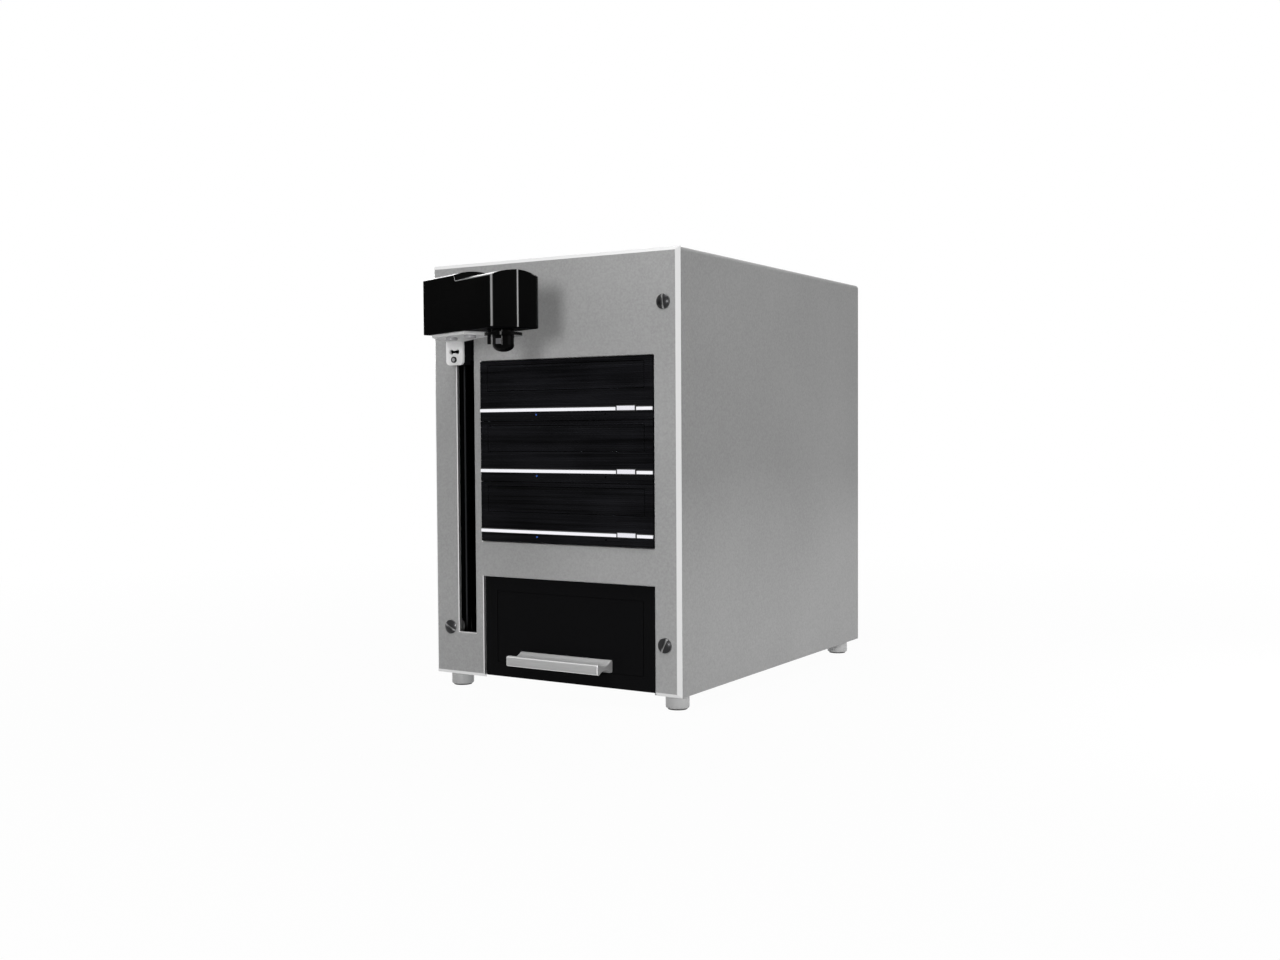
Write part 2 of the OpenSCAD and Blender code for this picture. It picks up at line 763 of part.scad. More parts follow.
module drive_bezel(i) color(black) place() translate([0, 0, drive_z(i)]) difference() {
    x0 = bay_cx - bezel_w / 2;
    union() {
        along_x(x0, bezel_w) ribbed(0, bezel_h, bezel_back);
        difference() {
            box(x0, bezel_back - eps, 0, bezel_w, bezel_d - bezel_t + eps, bezel_h);
            box(x0 + bezel_wall, bezel_back - 2 * eps, bezel_wall,
                bezel_w - 2 * bezel_wall, bezel_d, bezel_h - 2 * bezel_wall);
        }
    }
    box(bay_cx - door_w / 2 - door_gap, face_y - eps, door_z - door_gap,
        door_w + 2 * door_gap, bezel_d + 2 * eps, door_h + 2 * door_gap);
    box(x0 - eps, face_y - eps, strip_z - strip_h / 2, bezel_w + 2 * eps, strip_sink + eps, strip_h);
    box(button_cx - button_w / 2 - button_gap, face_y - eps, strip_z - button_h / 2 - button_gap,
        button_w + 2 * button_gap, bezel_t + 2 * eps, button_h + 2 * button_gap);
    rod_y(lamp_x, face_y - eps, lamp_z, lamp_d + 2 * lamp_gap, bezel_d + 2 * eps);
    rod_y(x0 + bezel_w - pinhole_inset, face_y - eps, lamp_z, pinhole_d, bezel_d + 2 * eps, $fn = 24);
}

// Tray with its disc rest, hub window and a step for small discs
module drive_tray(i) color(dark) place()
    translate([bay_cx, face_y + door_t, drive_z(i) + tray_z]) difference() {
        rest_y = disc_y - face_y - door_t;
        box(-tray_w / 2, 0, 0, tray_w, tray_l, tray_t);
        translate([0, rest_y, tray_t - rest_deep]) cylinder(d = disc_rest_d, h = rest_deep + eps);
        translate([0, rest_y, tray_t - 2 * rest_deep]) cylinder(d = small_disc_d, h = 2 * rest_deep + eps);
        translate([0, rest_y, -eps]) cylinder(d = hub_hole_d, h = tray_t + 2 * eps);
        box(-hub_hole_d / 2, rest_y, -eps, hub_hole_d, tray_l - rest_y - hub_slot_end, tray_t + 2 * eps);
    }

module drive_door(i) color(black) place() translate([0, 0, drive_z(i)])
    along_x(bay_cx - door_w / 2, door_w) ribbed(door_z, door_z + door_h, face_y + door_t);

module drive_button(i) color(bright) place()
    translate([button_cx, face_y - button_proud, drive_z(i) + strip_z]) {
        stop_y = button_proud + bezel_t + button_gap;
        stop_w = button_w + 2 * button_wide;
        stop_h = button_h + button_wide;
        box(-button_w / 2, 0, -button_h / 2, button_w, stop_y + button_stop / 2, button_h);
        box(-stop_w / 2, stop_y, -stop_h / 2, stop_w, button_stop, stop_h);
    }

module drive_strips() color(bright) place() for (i = [1:drive_count])
    translate([bay_cx - bezel_w / 2, face_y - strip_proud, drive_z(i) + strip_z - strip_h / 2]) {
        left_l = button_cx - button_w / 2 - button_gap - (bay_cx - bezel_w / 2);
        right_x = left_l + button_w + 2 * button_gap;
        cube([left_l, strip_sink + strip_proud, strip_h]);
        box(right_x, 0, 0, bezel_w - right_x, strip_sink + strip_proud, strip_h);
    }

module drive_lamps() color([0.1, 0.35, 0.9]) place() for (i = [1:drive_count])
    rod_y(lamp_x, face_y - lamp_proud, drive_z(i) + lamp_z, lamp_d, bezel_d - lamp_short);

// Channel behind the slot, with end plates for the rods, idler and motor
module lift_frame() color(dark) place() difference() {
    h = lift_top - deck_z;
    w = lift_right - lift_x;
    union() {
        box(lift_x, lift_y, deck_z, sheet_t, lift_web_y + sheet_t - lift_y, h);
        box(lift_right - sheet_t, lift_y + sheet_t + seam, deck_z, sheet_t, lift_web_y - lift_y - seam, h);
        box(lift_x, lift_web_y, deck_z, w, sheet_t, h);
        box(lift_x, lift_y, deck_z, slot_x - lift_lip - lift_x, sheet_t, h);
        for (z = [deck_z, lift_top - lift_end_t])
            box(lift_x, lift_y + sheet_t + seam, z, w, lift_web_y - lift_y - seam, lift_end_t);
    }
    rod_y(belt_x, lift_web_y - eps, pulley_low_z, pilot_d + 2 * pilot_gap, sheet_t + 2 * eps);
    for (p = screw_points) rod_y(p[0], lift_y - eps, p[1], screw_d + 2 * screw_gap, sheet_t + 2 * eps);
}

module guide_rods() color(bright) place() for (p = [rod_a, rod_b])
    translate([p[0], p[1], rod_z0]) cylinder(d = rod_d, h = rod_z1 - rod_z0);

// Carriage: bored block, neck through the slot with a pad for the bracket, slit clamp on the belt
module carriage() color(dark) place() difference() {
    clamp_x = belt_x - pulley_r;
    union() {
        box(block_x0, block_y0, block_z, block_x1 - block_x0, block_y1 - block_y0, block_h);
        box(slot_x + neck_gap, -bracket_gap, neck_z,
            slot_w - 2 * neck_gap, block_y0 + bracket_gap + eps, neck_h);
        box(slot_x + neck_gap, -bracket_gap, bracket_z + neck_pad_up, slot_w - 2 * neck_gap,
            bracket_gap - neck_pad_gap, neck_z - bracket_z - neck_pad_up + eps);
        box(clamp_x - clamp_w / 2, block_y1 - eps, clamp_z,
            clamp_w, belt_y + belt_w + clamp_end - block_y1 + eps, clamp_h);
    }
    for (p = [rod_a, rod_b])
        translate([p[0], p[1], block_z - eps]) cylinder(d = rod_d + 2 * rod_gap, h = block_h + 2 * eps);
    box(clamp_x - belt_t / 2 - belt_gap, belt_y - belt_gap, clamp_z - eps,
        belt_t + 2 * belt_gap, belt_w + belt_gap + 2 * clamp_end, clamp_h + 2 * eps);
    rod_y(plate_screw[0], -bracket_gap - eps, plate_screw[1],
        plate_screw_d + 2 * screw_gap, plate_screw_deep);
    rod_y(plate_screw[0], -bracket_gap - eps, key_z, key_hole_d, key_hole_deep);
}

module belt_loop(r) {
    for (z = [pulley_low_z, pulley_high_z]) translate([belt_x, z]) circle(r);
    translate([belt_x - r, pulley_low_z]) square([2 * r, pulley_high_z - pulley_low_z]);
}

module lift_belt() color(black) place() along_y(belt_y, belt_w) difference() {
    belt_loop(pulley_r + belt_t / 2);
    belt_loop(pulley_r - belt_t / 2);
}

module pulley(z) translate([belt_x, belt_y - rim_gap - rim_plate, z]) rotate([-90, 0, 0]) {
    w = belt_w + 2 * rim_gap;
    for (y = [0, w + rim_plate]) translate([0, 0, y]) cylinder(r = pulley_rim_r, h = rim_plate);
    difference() {
        cylinder(r = pulley_body_r, h = w + 2 * rim_plate);
        for (k = [1:teeth]) rotate(k * 360 / teeth) translate([pulley_body_r, 0, rim_plate])
            cylinder(r = tooth_r, h = w, $fn = 16);
    }
}

module drive_pulley() color(bright) place() {
    pulley(pulley_low_z);
    rod_y(belt_x, axle_y0, pulley_low_z, shaft_d, motor_y + shaft_in - axle_y0);
}

module idler_pulley() color(bright) place() difference() {
    pulley(pulley_high_z);
    rod_y(belt_x, axle_y0, pulley_high_z, shaft_d + 2 * axle_gap, lift_web_y - axle_y0);
}

module idler_axle() color(zinc) place() {
    rod_y(belt_x, axle_y0, pulley_high_z, shaft_d, lift_web_y - axle_y0);
    rod_y(belt_x, axle_y0 - axle_head_t, pulley_high_z, axle_head_d, axle_head_t);
    rod_y(belt_x, belt_y + belt_w + 2 * rim_gap + rim_plate, pulley_high_z, axle_head_d,
        lift_web_y - belt_y - belt_w - 2 * rim_gap - rim_plate);
}

module lift_motor() color(dark) place() difference() {
    chamfer = 3;
    a = motor_s / 2;
    b = a - chamfer;
    union() {
        translate([belt_x, 0, pulley_low_z]) along_y(motor_y, motor_l)
            polygon([[-a, -b], [-b, -a], [b, -a], [a, -b], [a, b], [b, a], [-b, a], [-a, b]]);
        rod_y(belt_x, lift_web_y, pulley_low_z, pilot_d, sheet_t + eps);
    }
    rod_y(belt_x, lift_web_y - eps, pulley_low_z, shaft_d + 2 * axle_gap, sheet_t + shaft_in + 1 + eps);
}

// Angle bracket: a keyhole plate on the carriage and a leg under the arm
module arm_bracket() color(bright) place() difference() {
    x1 = bracket_x0 + bracket_w;
    union() {
        along_y(-bracket_gap - bracket_t, bracket_t)
            polygon(rounded([[bracket_x0, bracket_z], [x1, bracket_z], [x1, arm_z], [bracket_x0, arm_z]],
                [bracket_r, bracket_r, bend_edge_r, bend_edge_r]));
        translate([0, 0, arm_z - bracket_t]) linear_extrude(bracket_t)
            polygon(concat([[bracket_x0, -bracket_gap]],
                [for (p = bracket_leg) arm_to_case(p)], [[x1, -bracket_gap]]));
    }
    along_y(-bracket_gap - bracket_t - eps, bracket_t + 2 * eps) {
        for (k = [-1, 1]) translate([plate_screw[0] + k * key_span / 2, key_z]) circle(d = key_d);
        translate([plate_screw[0], key_z]) square([key_span, key_waist], center = true);
    }
    rod_y(plate_screw[0], -bracket_gap - bracket_t - eps, plate_screw[1], plate_screw_d + 2 * screw_gap,
        bracket_t + 2 * eps);
    for (p = leg_screws) translate(concat(arm_to_case(p), [arm_z - bracket_t - eps]))
        cylinder(d = leg_screw_d + 2 * screw_gap, h = bracket_t + 2 * eps);
}

module bracket_screws() color(dark) place() {
    head_y = -bracket_gap - bracket_t - plate_head_h;
    rod_y(plate_screw[0], head_y, plate_screw[1], plate_head_d, plate_head_h);
    rod_y(plate_screw[0], head_y + plate_head_h / 2, plate_screw[1],
        plate_screw_d, bracket_t + plate_screw_l);
    for (p = leg_screws) translate(concat(arm_to_case(p), [arm_z - bracket_t])) {
        translate([0, 0, -leg_head_h]) cylinder(d = 2 * leg_screw_d, h = leg_head_h);
        translate([0, 0, -leg_head_h / 2])
            cylinder(d = leg_screw_d, h = leg_head_h / 2 + bracket_t + arm_base_t + leg_screw_end);
    }
}

// Arched top of the housing: a drawing across the arm, carried along it
module arch(x, l, h) along_x(x, l) intersection() {
    square([arm_w, h + arm_crown]);
    translate([arm_w / 2, h + arm_crown - crown_r]) circle(crown_r, $fn = 96);
}

// Moulded housing with a taller root, a sloping step and a ridged end
module arm_housing() color(black) place() in_arm() difference() {
    intersection() {
        linear_extrude(arm_top_h + eps) polygon(rounded(arm_outline, arm_radii));
        union() {
            arch(-eps, arm_l + arm_prow + 2 * eps, arm_side_h);
            intersection() {
                arch(-eps, arm_root_l + step_run, arm_side_h + arm_step);
                translate([0, -eps, 0]) along_y(0, arm_w + 2 * eps)
                    polygon([[-eps, 0], [arm_root_l + step_run / 2, 0],
                        [arm_root_l + step_run / 2, arm_side_h - eps],
                        [arm_root_l - step_run / 2, arm_top_h], [-eps, arm_top_h]]);
            }
        }
    }
    translate([0, 0, -eps]) linear_extrude(arm_side_h - arm_wall + eps)
        polygon(rect(arm_wall, arm_wall, arm_l - 2 * arm_wall, arm_w - 2 * arm_wall));
}

module arm_base() color(zinc) place() in_arm() difference() {
    inset = arm_wall + arm_fit;
    linear_extrude(arm_base_t) polygon(rect(inset, inset, arm_l - 2 * inset, arm_w - 2 * inset));
    translate([arm_origin, arm_w / 2, -eps]) cylinder(r = bore_r, h = arm_base_t + 2 * eps);
    translate([pin_at[0], pin_at[1], -eps]) cylinder(d = pin_d + 2 * pin_gap, h = arm_base_t + 2 * eps);
    for (p = leg_screws) translate([p[0], p[1], -eps])
        cylinder(d = leg_screw_d + 2 * screw_gap, h = arm_base_t + 2 * eps);
}

// Everything on the gripper's axis stands on this spot
module on_grip(z) translate([grip_at[0], grip_at[1], z]) rotate(-arm_turn) children();
finger_turns = [60, 180, 300];

// Nose with a domed tip, its stop plate and three finger windows
module gripper_nose() color(black) place() difference() {
    tip_z = arm_z - nose_l;
    r = nose_d / 2;
    on_grip(0) rotate_extrude() polygon(concat(
        [for (k = [0:8]) [r * sin(k * 90 / 8), tip_z + dome_h * (1 - cos(k * 90 / 8))]],
        [[r, stop_z], [stop_d / 2, stop_z], [stop_d / 2, stop_z + stop_t],
            [r, stop_z + stop_t], [r, arm_z], [0, arm_z]]));
    on_grip(finger_z - 1) cylinder(r = bore_r, h = nose_l);
    for (a = finger_turns) on_grip(finger_z - finger_gap) rotate(a)
        box(0, -finger_w / 2 - finger_gap, 0, nose_d, finger_w + 2 * finger_gap, finger_h + 2 * finger_gap);
    on_grip(stop_z - eps) translate([pin_at[0] - arm_origin, pin_at[1] - arm_w / 2, 0])
        cylinder(d = pin_d + 2 * pin_gap, h = stop_t + 2 * eps);
}

module gripper_finger(k) color(zinc) place() on_grip(finger_z) rotate(finger_turns[k - 1]) intersection() {
    box(finger_in, -finger_w / 2, 0, nose_d, finger_w, finger_h);
    cylinder(r = finger_out, h = finger_h);
}

// Plunger with the cone that spreads the fingers
module gripper_plunger() color(bright) place() on_grip(0) rotate_extrude()
    polygon([[0, cone_z], [cone_tip_r, cone_z], [cone_r, cone_z + cone_h],
        [stem_r, cone_z + cone_h + cone_back], [stem_r, solenoid_z + solenoid_h + stem_end],
        [0, solenoid_z + solenoid_h + stem_end]]);

module gripper_solenoid() color(dark) place() on_grip(solenoid_z) difference() {
    cylinder(d = solenoid_d, h = solenoid_h);
    translate([0, 0, -eps]) cylinder(r = stem_r + axle_gap, h = solenoid_h + 2 * eps);
    translate([0, 0, -eps]) cylinder(r = bore_r, h = solenoid_mouth + eps);
}

module disc_sensor_pin() color(dark) place() in_arm() translate([pin_at[0], pin_at[1], 0]) {
    tip_z = stop_z - arm_z - pin_drop;
    translate([0, 0, tip_z]) cylinder(d = pin_d, h = arm_base_t + pin_end - tip_z);
    translate([0, 0, arm_base_t + pin_collar_gap]) cylinder(d = pin_d + 2, h = pin_collar_h);
}

// Drawer front with a fine line frame around its face
module drawer_front() color(black) place() difference() {
    x0 = drawer_x + drawer_gap;
    box(x0, drawer_y, drawer_z, drawer_front_w, front_t, drawer_front_h);
    along_y(drawer_y - eps, line_deep + eps) difference() {
        polygon(rect(x0 + line_inset, drawer_z + line_inset,
            drawer_front_w - 2 * line_inset, drawer_front_h - 2 * line_inset));
        polygon(rect(x0 + line_inset + line_w, drawer_z + line_inset + line_w,
            drawer_front_w - 2 * line_inset - 2 * line_w, drawer_front_h - 2 * line_inset - 2 * line_w));
    }
}

// Disc bin: a hollow moulding with a round disc well, a nose hole and four posts
module drawer_bin() color(dark) place() {
    top = platform_z + bin_rim;
    w = bin_x1 - bin_x0;
    difference() {
        union() {
            box(bin_x0, bin_y, bin_z, w, bin_l, top - bin_z);
            for (a = [45:90:315]) translate([stack_cx + post_r * cos(a), stack_y + post_r * sin(a), bin_z])
                cylinder(d = post_d, h = platform_z + post_h - bin_z);
        }
        box(bin_x0 + bin_wall, bin_y + bin_wall, bin_z - eps, w - 2 * bin_wall, bin_l - 2 * bin_wall,
            platform_z - bin_wall - bin_z + eps);
        translate([stack_cx, stack_y, platform_z]) cylinder(d = stack_d, h = post_h + eps, $fn = 96);
        translate([stack_cx, stack_y, bin_z]) cylinder(d = nose_hole_d, h = platform_z);
    }
}

// Handle: an extruded pull, a front bar and a rear flange with a trough above and below
module drawer_handle() color(bright) place()
    along_x(drawer_cx + handle_shift - handle_l / 2, handle_l) translate([drawer_y, handle_z]) difference() {
        polygon(rounded([[-handle_d, -bar_h / 2], [0, -handle_h / 2], [0, handle_h / 2],
            [-handle_d, bar_h / 2]], [bar_r, flange_r, flange_r, bar_r]));
        trough_z = (bar_h + handle_h) / 4 + trough_r - trough_deep;
        for (k = [-1, 1]) translate([-handle_d / 2, k * trough_z]) circle(trough_r, $fn = 96);
    }

// One member of a drawer slide: a channel that opens towards the drawer
module slide_channel(x, side, z, h, y) {
    depth = slide_d - slide_gap - x;
    for (s = [0, 1]) translate([0, y, z + s * (h - slide_t)])
        translate([side > 0 ? x : -x - depth, 0, 0]) cube([depth, slide_l, slide_t]);
    translate([side > 0 ? x : -x - slide_t, y, z]) cube([slide_t, slide_l, h]);
}
slide_step = slide_t + slide_gap;

module slide_outers() color(zinc) place() {
    translate([frame_in_left, 0, 0]) slide_channel(0, 1, slide_z, slide_h, slide_y);
    translate([frame_in_right, 0, 0]) slide_channel(0, -1, slide_z, slide_h, slide_y);
}

module slide_middles() color(zinc) place() {
    z = slide_z + slide_step;
    h = slide_h - 2 * slide_step;
    translate([frame_in_left, 0, 0]) slide_channel(slide_step, 1, z, h, slide_y);
    translate([frame_in_right, 0, 0]) slide_channel(slide_step, -1, z, h, slide_y);
}

module slide_inners() color(zinc) place() {
    z = slide_z + 2 * slide_step;
    h = slide_h - 4 * slide_step;
    w = slide_d - 2 * slide_step;
    box(bin_x0 - w, bin_y, z, w, slide_l, h);
    box(bin_x1, bin_y, z, w, slide_l, h);
}

port_x = board_x + 14;
fan_screw_gap = 5;
fan_screws = [for (x = [-1, 1], z = [-1, 1])
    [fan_cx + x * (fan_s / 2 - fan_screw_gap), fan_cz + z * (fan_s / 2 - fan_screw_gap)]];

// Supply: a sheet box with openings for its fan and mains inlet
module power_supply() color(zinc) place() difference() {
    box(supply_x, supply_y, supply_z, supply_w, supply_l, supply_h);
    box(supply_x + shell_t, supply_y + shell_t, supply_z + shell_t,
        supply_w - 2 * shell_t, supply_l - 2 * shell_t, supply_h - 2 * shell_t);
    rod_y(fan_cx, rear_y - 2 * eps, fan_cz, fan_bore, 3 * eps);
    for (p = fan_screws) rod_y(p[0], rear_y - 2 * eps, p[1], fan_screw_d, 3 * eps);
    box(inlet_cx - inlet_w / 2 - seam, rear_y - 2 * eps, fan_cz - inlet_h / 2 - seam,
        inlet_w + 2 * seam, 3 * eps, inlet_h + 2 * seam);
    for (k = [0:supply_slots - 1])
        box(supply_x + supply_slot_x + k * supply_slot_pitch, supply_y - eps, supply_z + supply_slot_inset,
            supply_slot_w, shell_t + 2 * eps, supply_h - 2 * supply_slot_inset);
}

// Fan frame with a hub carried on four arms
module fan_frame() color(black) place() {
    difference() {
        box(fan_cx - fan_s / 2, fan_y, fan_cz - fan_s / 2, fan_s, fan_d, fan_s);
        rod_y(fan_cx, fan_y - eps, fan_cz, fan_bore, fan_d + 2 * eps);
        for (p = fan_screws) rod_y(p[0], fan_y - eps, p[1], fan_screw_d, fan_d + 2 * eps);
    }
    difference() {
        union() {
            rod_y(fan_cx, fan_y, fan_cz, hub_d, fan_arm_t);
            for (a = [45:90:315]) translate([fan_cx, fan_y + fan_arm_t / 2, fan_cz]) rotate([0, a, 0])
                translate([fan_bore / 4, 0, 0])
                    cube([fan_bore / 2 + 1, fan_arm_t, fan_arm_w], center = true);
        }
        rod_y(fan_cx, fan_y - eps, fan_cz, fan_pin_d + 2 * axle_gap, fan_arm_t + 2 * eps);
    }
}

module fan_rotor() color(dark) place() translate([fan_cx, fan_y + rotor_y, fan_cz]) rotate([-90, 0, 0]) {
    depth = fan_d - 2 * rotor_y;
    cylinder(d = hub_d, h = depth);
    translate([0, 0, -rotor_y]) cylinder(d = fan_pin_d, h = depth);
    intersection() {
        cylinder(r = fan_bore / 2 - fan_tip_gap, h = depth);
        for (k = [1:fan_blades]) rotate(k * 360 / fan_blades) translate([hub_d / 2 - 2, 0, depth / 2])
            rotate([blade_turn, 0, 0]) translate([0, -blade_w / 2, -blade_t / 2])
                cube([fan_bore, blade_w, blade_t]);
    }
}

// Stamped guard over the fan: rings on two crossed bars with four lugs
guard_t = 1.6;
guard_w = 1.8;
guard_pitch = 6.5;
guard_hub = 5;
guard_lug_d = 8;
guard_screw_d = 3.6;
guard_head_d = 6.6;
guard_head_h = 1.6;
guard_screw_l = 12;
guard_bar_l = fan_s * 1.18;
guard_rings = floor((fan_bore / 2 - guard_hub) / guard_pitch);
module ring(r) difference() {
    circle(r + guard_w / 2);
    circle(r - guard_w / 2);
}
module fan_guard() color(bright) place() translate([fan_cx, 0, fan_cz]) along_y(rear_y + sheet_t, guard_t)
    difference() {
        union() {
            for (k = [0:guard_rings]) ring(guard_hub + k * guard_pitch);
            for (a = [45, 135]) rotate(a) square([guard_bar_l, guard_w], center = true);
            for (p = fan_screws) translate([p[0] - fan_cx, p[1] - fan_cz]) circle(d = guard_lug_d);
        }
        for (p = fan_screws) translate([p[0] - fan_cx, p[1] - fan_cz]) circle(d = fan_screw_d);
    }

module guard_screws() color(dark) place() for (p = fan_screws) difference() {
    face = rear_y + sheet_t + guard_t;
    union() {
        rod_y(p[0], face, p[1], guard_head_d, guard_head_h);
        rod_y(p[0], face - guard_screw_l, p[1], guard_screw_d, guard_screw_l + guard_head_h / 2);
    }
    rod_y(p[0], face + guard_head_h / 2, p[1], guard_screw_d * hex_share, guard_head_h, $fn = 6);
}

// Mains module: a socket with three blades below, a rocker well above
module mains_inlet() color(black) place() {
    face = rear_y + sheet_t + inlet_lip;
    difference() {
        union() {
            box(inlet_cx - inlet_w / 2 - inlet_rim, rear_y + sheet_t, fan_cz - inlet_h / 2 - inlet_rim,
                inlet_w + 2 * inlet_rim, inlet_lip, inlet_h + 2 * inlet_rim);
            box(inlet_cx - inlet_w / 2, face - inlet_deep, fan_cz - inlet_h / 2,
                inlet_w, inlet_deep, inlet_h);
        }
        along_y(face - socket_deep, socket_deep + eps) translate([inlet_cx, socket_z])
            polygon([[-socket_w / 2, -socket_h / 2], [socket_w / 2, -socket_h / 2],
                [socket_w / 2, socket_h / 2 - socket_corner], [socket_w / 2 - socket_corner, socket_h / 2],
                [socket_corner - socket_w / 2, socket_h / 2],
                [-socket_w / 2, socket_h / 2 - socket_corner]]);
        box(inlet_cx - rocker_w / 2 - rocker_gap, face - rocker_deep, rocker_z - rocker_h / 2 - rocker_gap,
            rocker_w + 2 * rocker_gap, rocker_deep + eps, rocker_h + 2 * rocker_gap);
        pin_half = rocker_w / 2 + rocker_end + rocker_hole_end;
        translate([inlet_cx - pin_half, face - rocker_sink, rocker_z]) rotate([0, 90, 0])
            cylinder(d = rocker_pin_d + 2 * axle_gap, h = 2 * pin_half);
    }
    for (p = blade_points)
        translate([inlet_cx + p[0] - blade_size[0] / 2, face - socket_deep - eps,
            socket_z + p[1] - blade_size[2] / 2]) cube(blade_size);
}

// Rocker with its pivot pins, resting with its lower half pressed
module power_switch() color(dark) place()
    translate([inlet_cx, rocker_y - rocker_sink, rocker_z]) rotate([rocker_tilt, 0, 0]) {
        along_x(-rocker_w / 2, rocker_w) polygon(rocker_form);
        translate([-rocker_w / 2 - rocker_end, 0, 0]) rotate([0, 90, 0])
            cylinder(d = rocker_pin_d, h = rocker_w + 2 * rocker_end);
    }

// Control board on four posts, with its port, chips and plugs
module controller_board() color([0.05, 0.3, 0.16]) place() {
    y0 = rear_y - board_l - 1;
    box(board_x, y0, board_z, board_w, board_l, board_t);
    inset = board_post_inset;
    for (x = [inset, board_w - inset], y = [inset, board_l - inset])
        translate([board_x + x, y0 + y, supply_z + supply_h])
            cylinder(d = board_post_d, h = board_z - supply_z - supply_h);
    difference() {
        box(port_x, rear_y + sheet_t - port_l, board_z + board_t, port_w, port_l + port_out, port_h);
        box(port_x + port_wall, rear_y + sheet_t - port_deep, board_z + board_t + port_wall,
            port_w - 2 * port_wall, port_deep + port_out + eps, port_h - 2 * port_wall);
    }
    for (item = board_items)
        translate([board_x + item[0][0], y0 + item[0][1], board_z + board_t]) cube(item[1]);
}

front_panel();
wrap_cover();
base_plate();
rear_panel();
frame_left();
frame_right();
front_screws();
cover_screws();
feet();
foot_pads();
drive_case(1);  // drive_1_case
drive_bezel(1);  // drive_1_bezel
drive_tray(1);  // drive_1_tray
drive_door(1);  // drive_1_door
drive_button(1);  // drive_1_button
drive_case(2);  // drive_2_case
drive_bezel(2);  // drive_2_bezel
drive_tray(2);  // drive_2_tray
drive_door(2);  // drive_2_door
drive_button(2);  // drive_2_button
drive_case(3);  // drive_3_case
drive_bezel(3);  // drive_3_bezel
drive_tray(3);  // drive_3_tray
drive_door(3);  // drive_3_door
drive_button(3);  // drive_3_button
drive_strips();
drive_lamps();
lift_frame();
guide_rods();
carriage();
lift_belt();
drive_pulley();
idler_pulley();
idler_axle();
lift_motor();
arm_bracket();
bracket_screws();
arm_housing();
arm_base();
gripper_nose();
gripper_solenoid();
gripper_plunger();
gripper_finger(1);  // gripper_finger_1
gripper_finger(2);  // gripper_finger_2
gripper_finger(3);  // gripper_finger_3
disc_sensor_pin();
drawer_front();
drawer_bin();
drawer_handle();
slide_outers();
slide_middles();
slide_inners();
power_supply();
fan_frame();
fan_rotor();
fan_guard();
guard_screws();
mains_inlet();
power_switch();
controller_board();
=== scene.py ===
import math

import bmesh
import bpy
import numpy as np
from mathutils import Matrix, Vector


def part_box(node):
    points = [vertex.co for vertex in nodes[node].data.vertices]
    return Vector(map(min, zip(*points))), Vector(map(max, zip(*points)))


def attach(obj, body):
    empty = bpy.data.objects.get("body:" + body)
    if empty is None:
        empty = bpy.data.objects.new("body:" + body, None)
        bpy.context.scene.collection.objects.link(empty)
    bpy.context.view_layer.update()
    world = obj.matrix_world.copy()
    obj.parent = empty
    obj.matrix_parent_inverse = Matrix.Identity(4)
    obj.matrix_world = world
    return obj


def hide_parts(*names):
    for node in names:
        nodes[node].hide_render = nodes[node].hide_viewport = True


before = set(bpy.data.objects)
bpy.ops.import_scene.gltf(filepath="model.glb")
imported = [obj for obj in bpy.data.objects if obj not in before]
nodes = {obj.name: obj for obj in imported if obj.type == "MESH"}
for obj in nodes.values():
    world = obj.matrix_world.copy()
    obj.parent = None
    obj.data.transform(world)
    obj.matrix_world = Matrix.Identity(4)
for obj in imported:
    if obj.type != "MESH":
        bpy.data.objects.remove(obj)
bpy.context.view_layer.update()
print("frame:", len(nodes), "nodes")

# camera, from the photograph's own perspective, for a 1280 x 960 picture
view = {"place": (0.55892, -0.89740, 0.19068), "turn": (87.928, 0.333, 31.514), "sensor": 36,
        "lens": 38.387, "far": 100}
lens = bpy.data.cameras.new("camera")
lens.sensor_width = view["sensor"]
lens.lens = view["lens"]
lens.clip_end = view["far"]
eye = bpy.data.objects.new("camera", lens)
eye.location = view["place"]
eye.rotation_euler = [math.radians(a) for a in view["turn"]]
bpy.context.scene.collection.objects.link(eye)
bpy.context.scene.camera = eye
bpy.context.scene.view_settings.view_transform = "Standard"

# the case's own millimetres, from its left side, front face and underside, to the row's metres
caseOrigin = np.array([-105.75, -108.3564, 10.5])


def toRow(points):
    return (np.asarray(points) + caseOrigin) / 1000


# sRGB hex to linear, the one way that colours come in
def hexColour(text):
    parts = np.array([int(text[k:k + 2], 16) for k in (1, 3, 5)]) / 255
    linear = np.where(parts <= 0.04045, parts / 12.92, ((parts + 0.055) / 1.055) ** 2.4)
    return (*linear.tolist(), 1.0)


# a pattern of this many millimetres, as a texture scale on metres
def perMetre(size):
    return 1000.0 / size


# adds a node, sets its settings or sockets, and links what feeds it
def put(tree, kind, settings=None, feeds=None):
    node = tree.nodes.new(kind)
    for key, value in (settings or {}).items():
        if isinstance(key, str) and hasattr(node, key):
            setattr(node, key, value)
        else:
            node.inputs[key].default_value = value
    for key, source in (feeds or {}).items():
        tree.links.new(source, node.inputs[key])
    return node


# a bare material with its shader, object coordinates and the values that are even all over
def startMaterial(name, even):
    material = bpy.data.materials.new(name)
    material.use_nodes = True
    tree = material.node_tree
    tree.nodes.clear()
    shader = put(tree, "ShaderNodeBsdfPrincipled", even)
    put(tree, "ShaderNodeOutputMaterial", None, {"Surface": shader.outputs[0]})
    place = put(tree, "ShaderNodeTexCoord").outputs["Object"]
    return material, tree, shader, place


# sockets of the Mix node, by number because its types share their names
mixShare, numberA, numberB, colourA, colourB = 0, 2, 3, 6, 7
numberOut, colourOut = 0, 2
noise = {"grainDetail": 3.0, "cloudDetail": 2.0, "cloudShare": 0.35, "bump": 0.5}


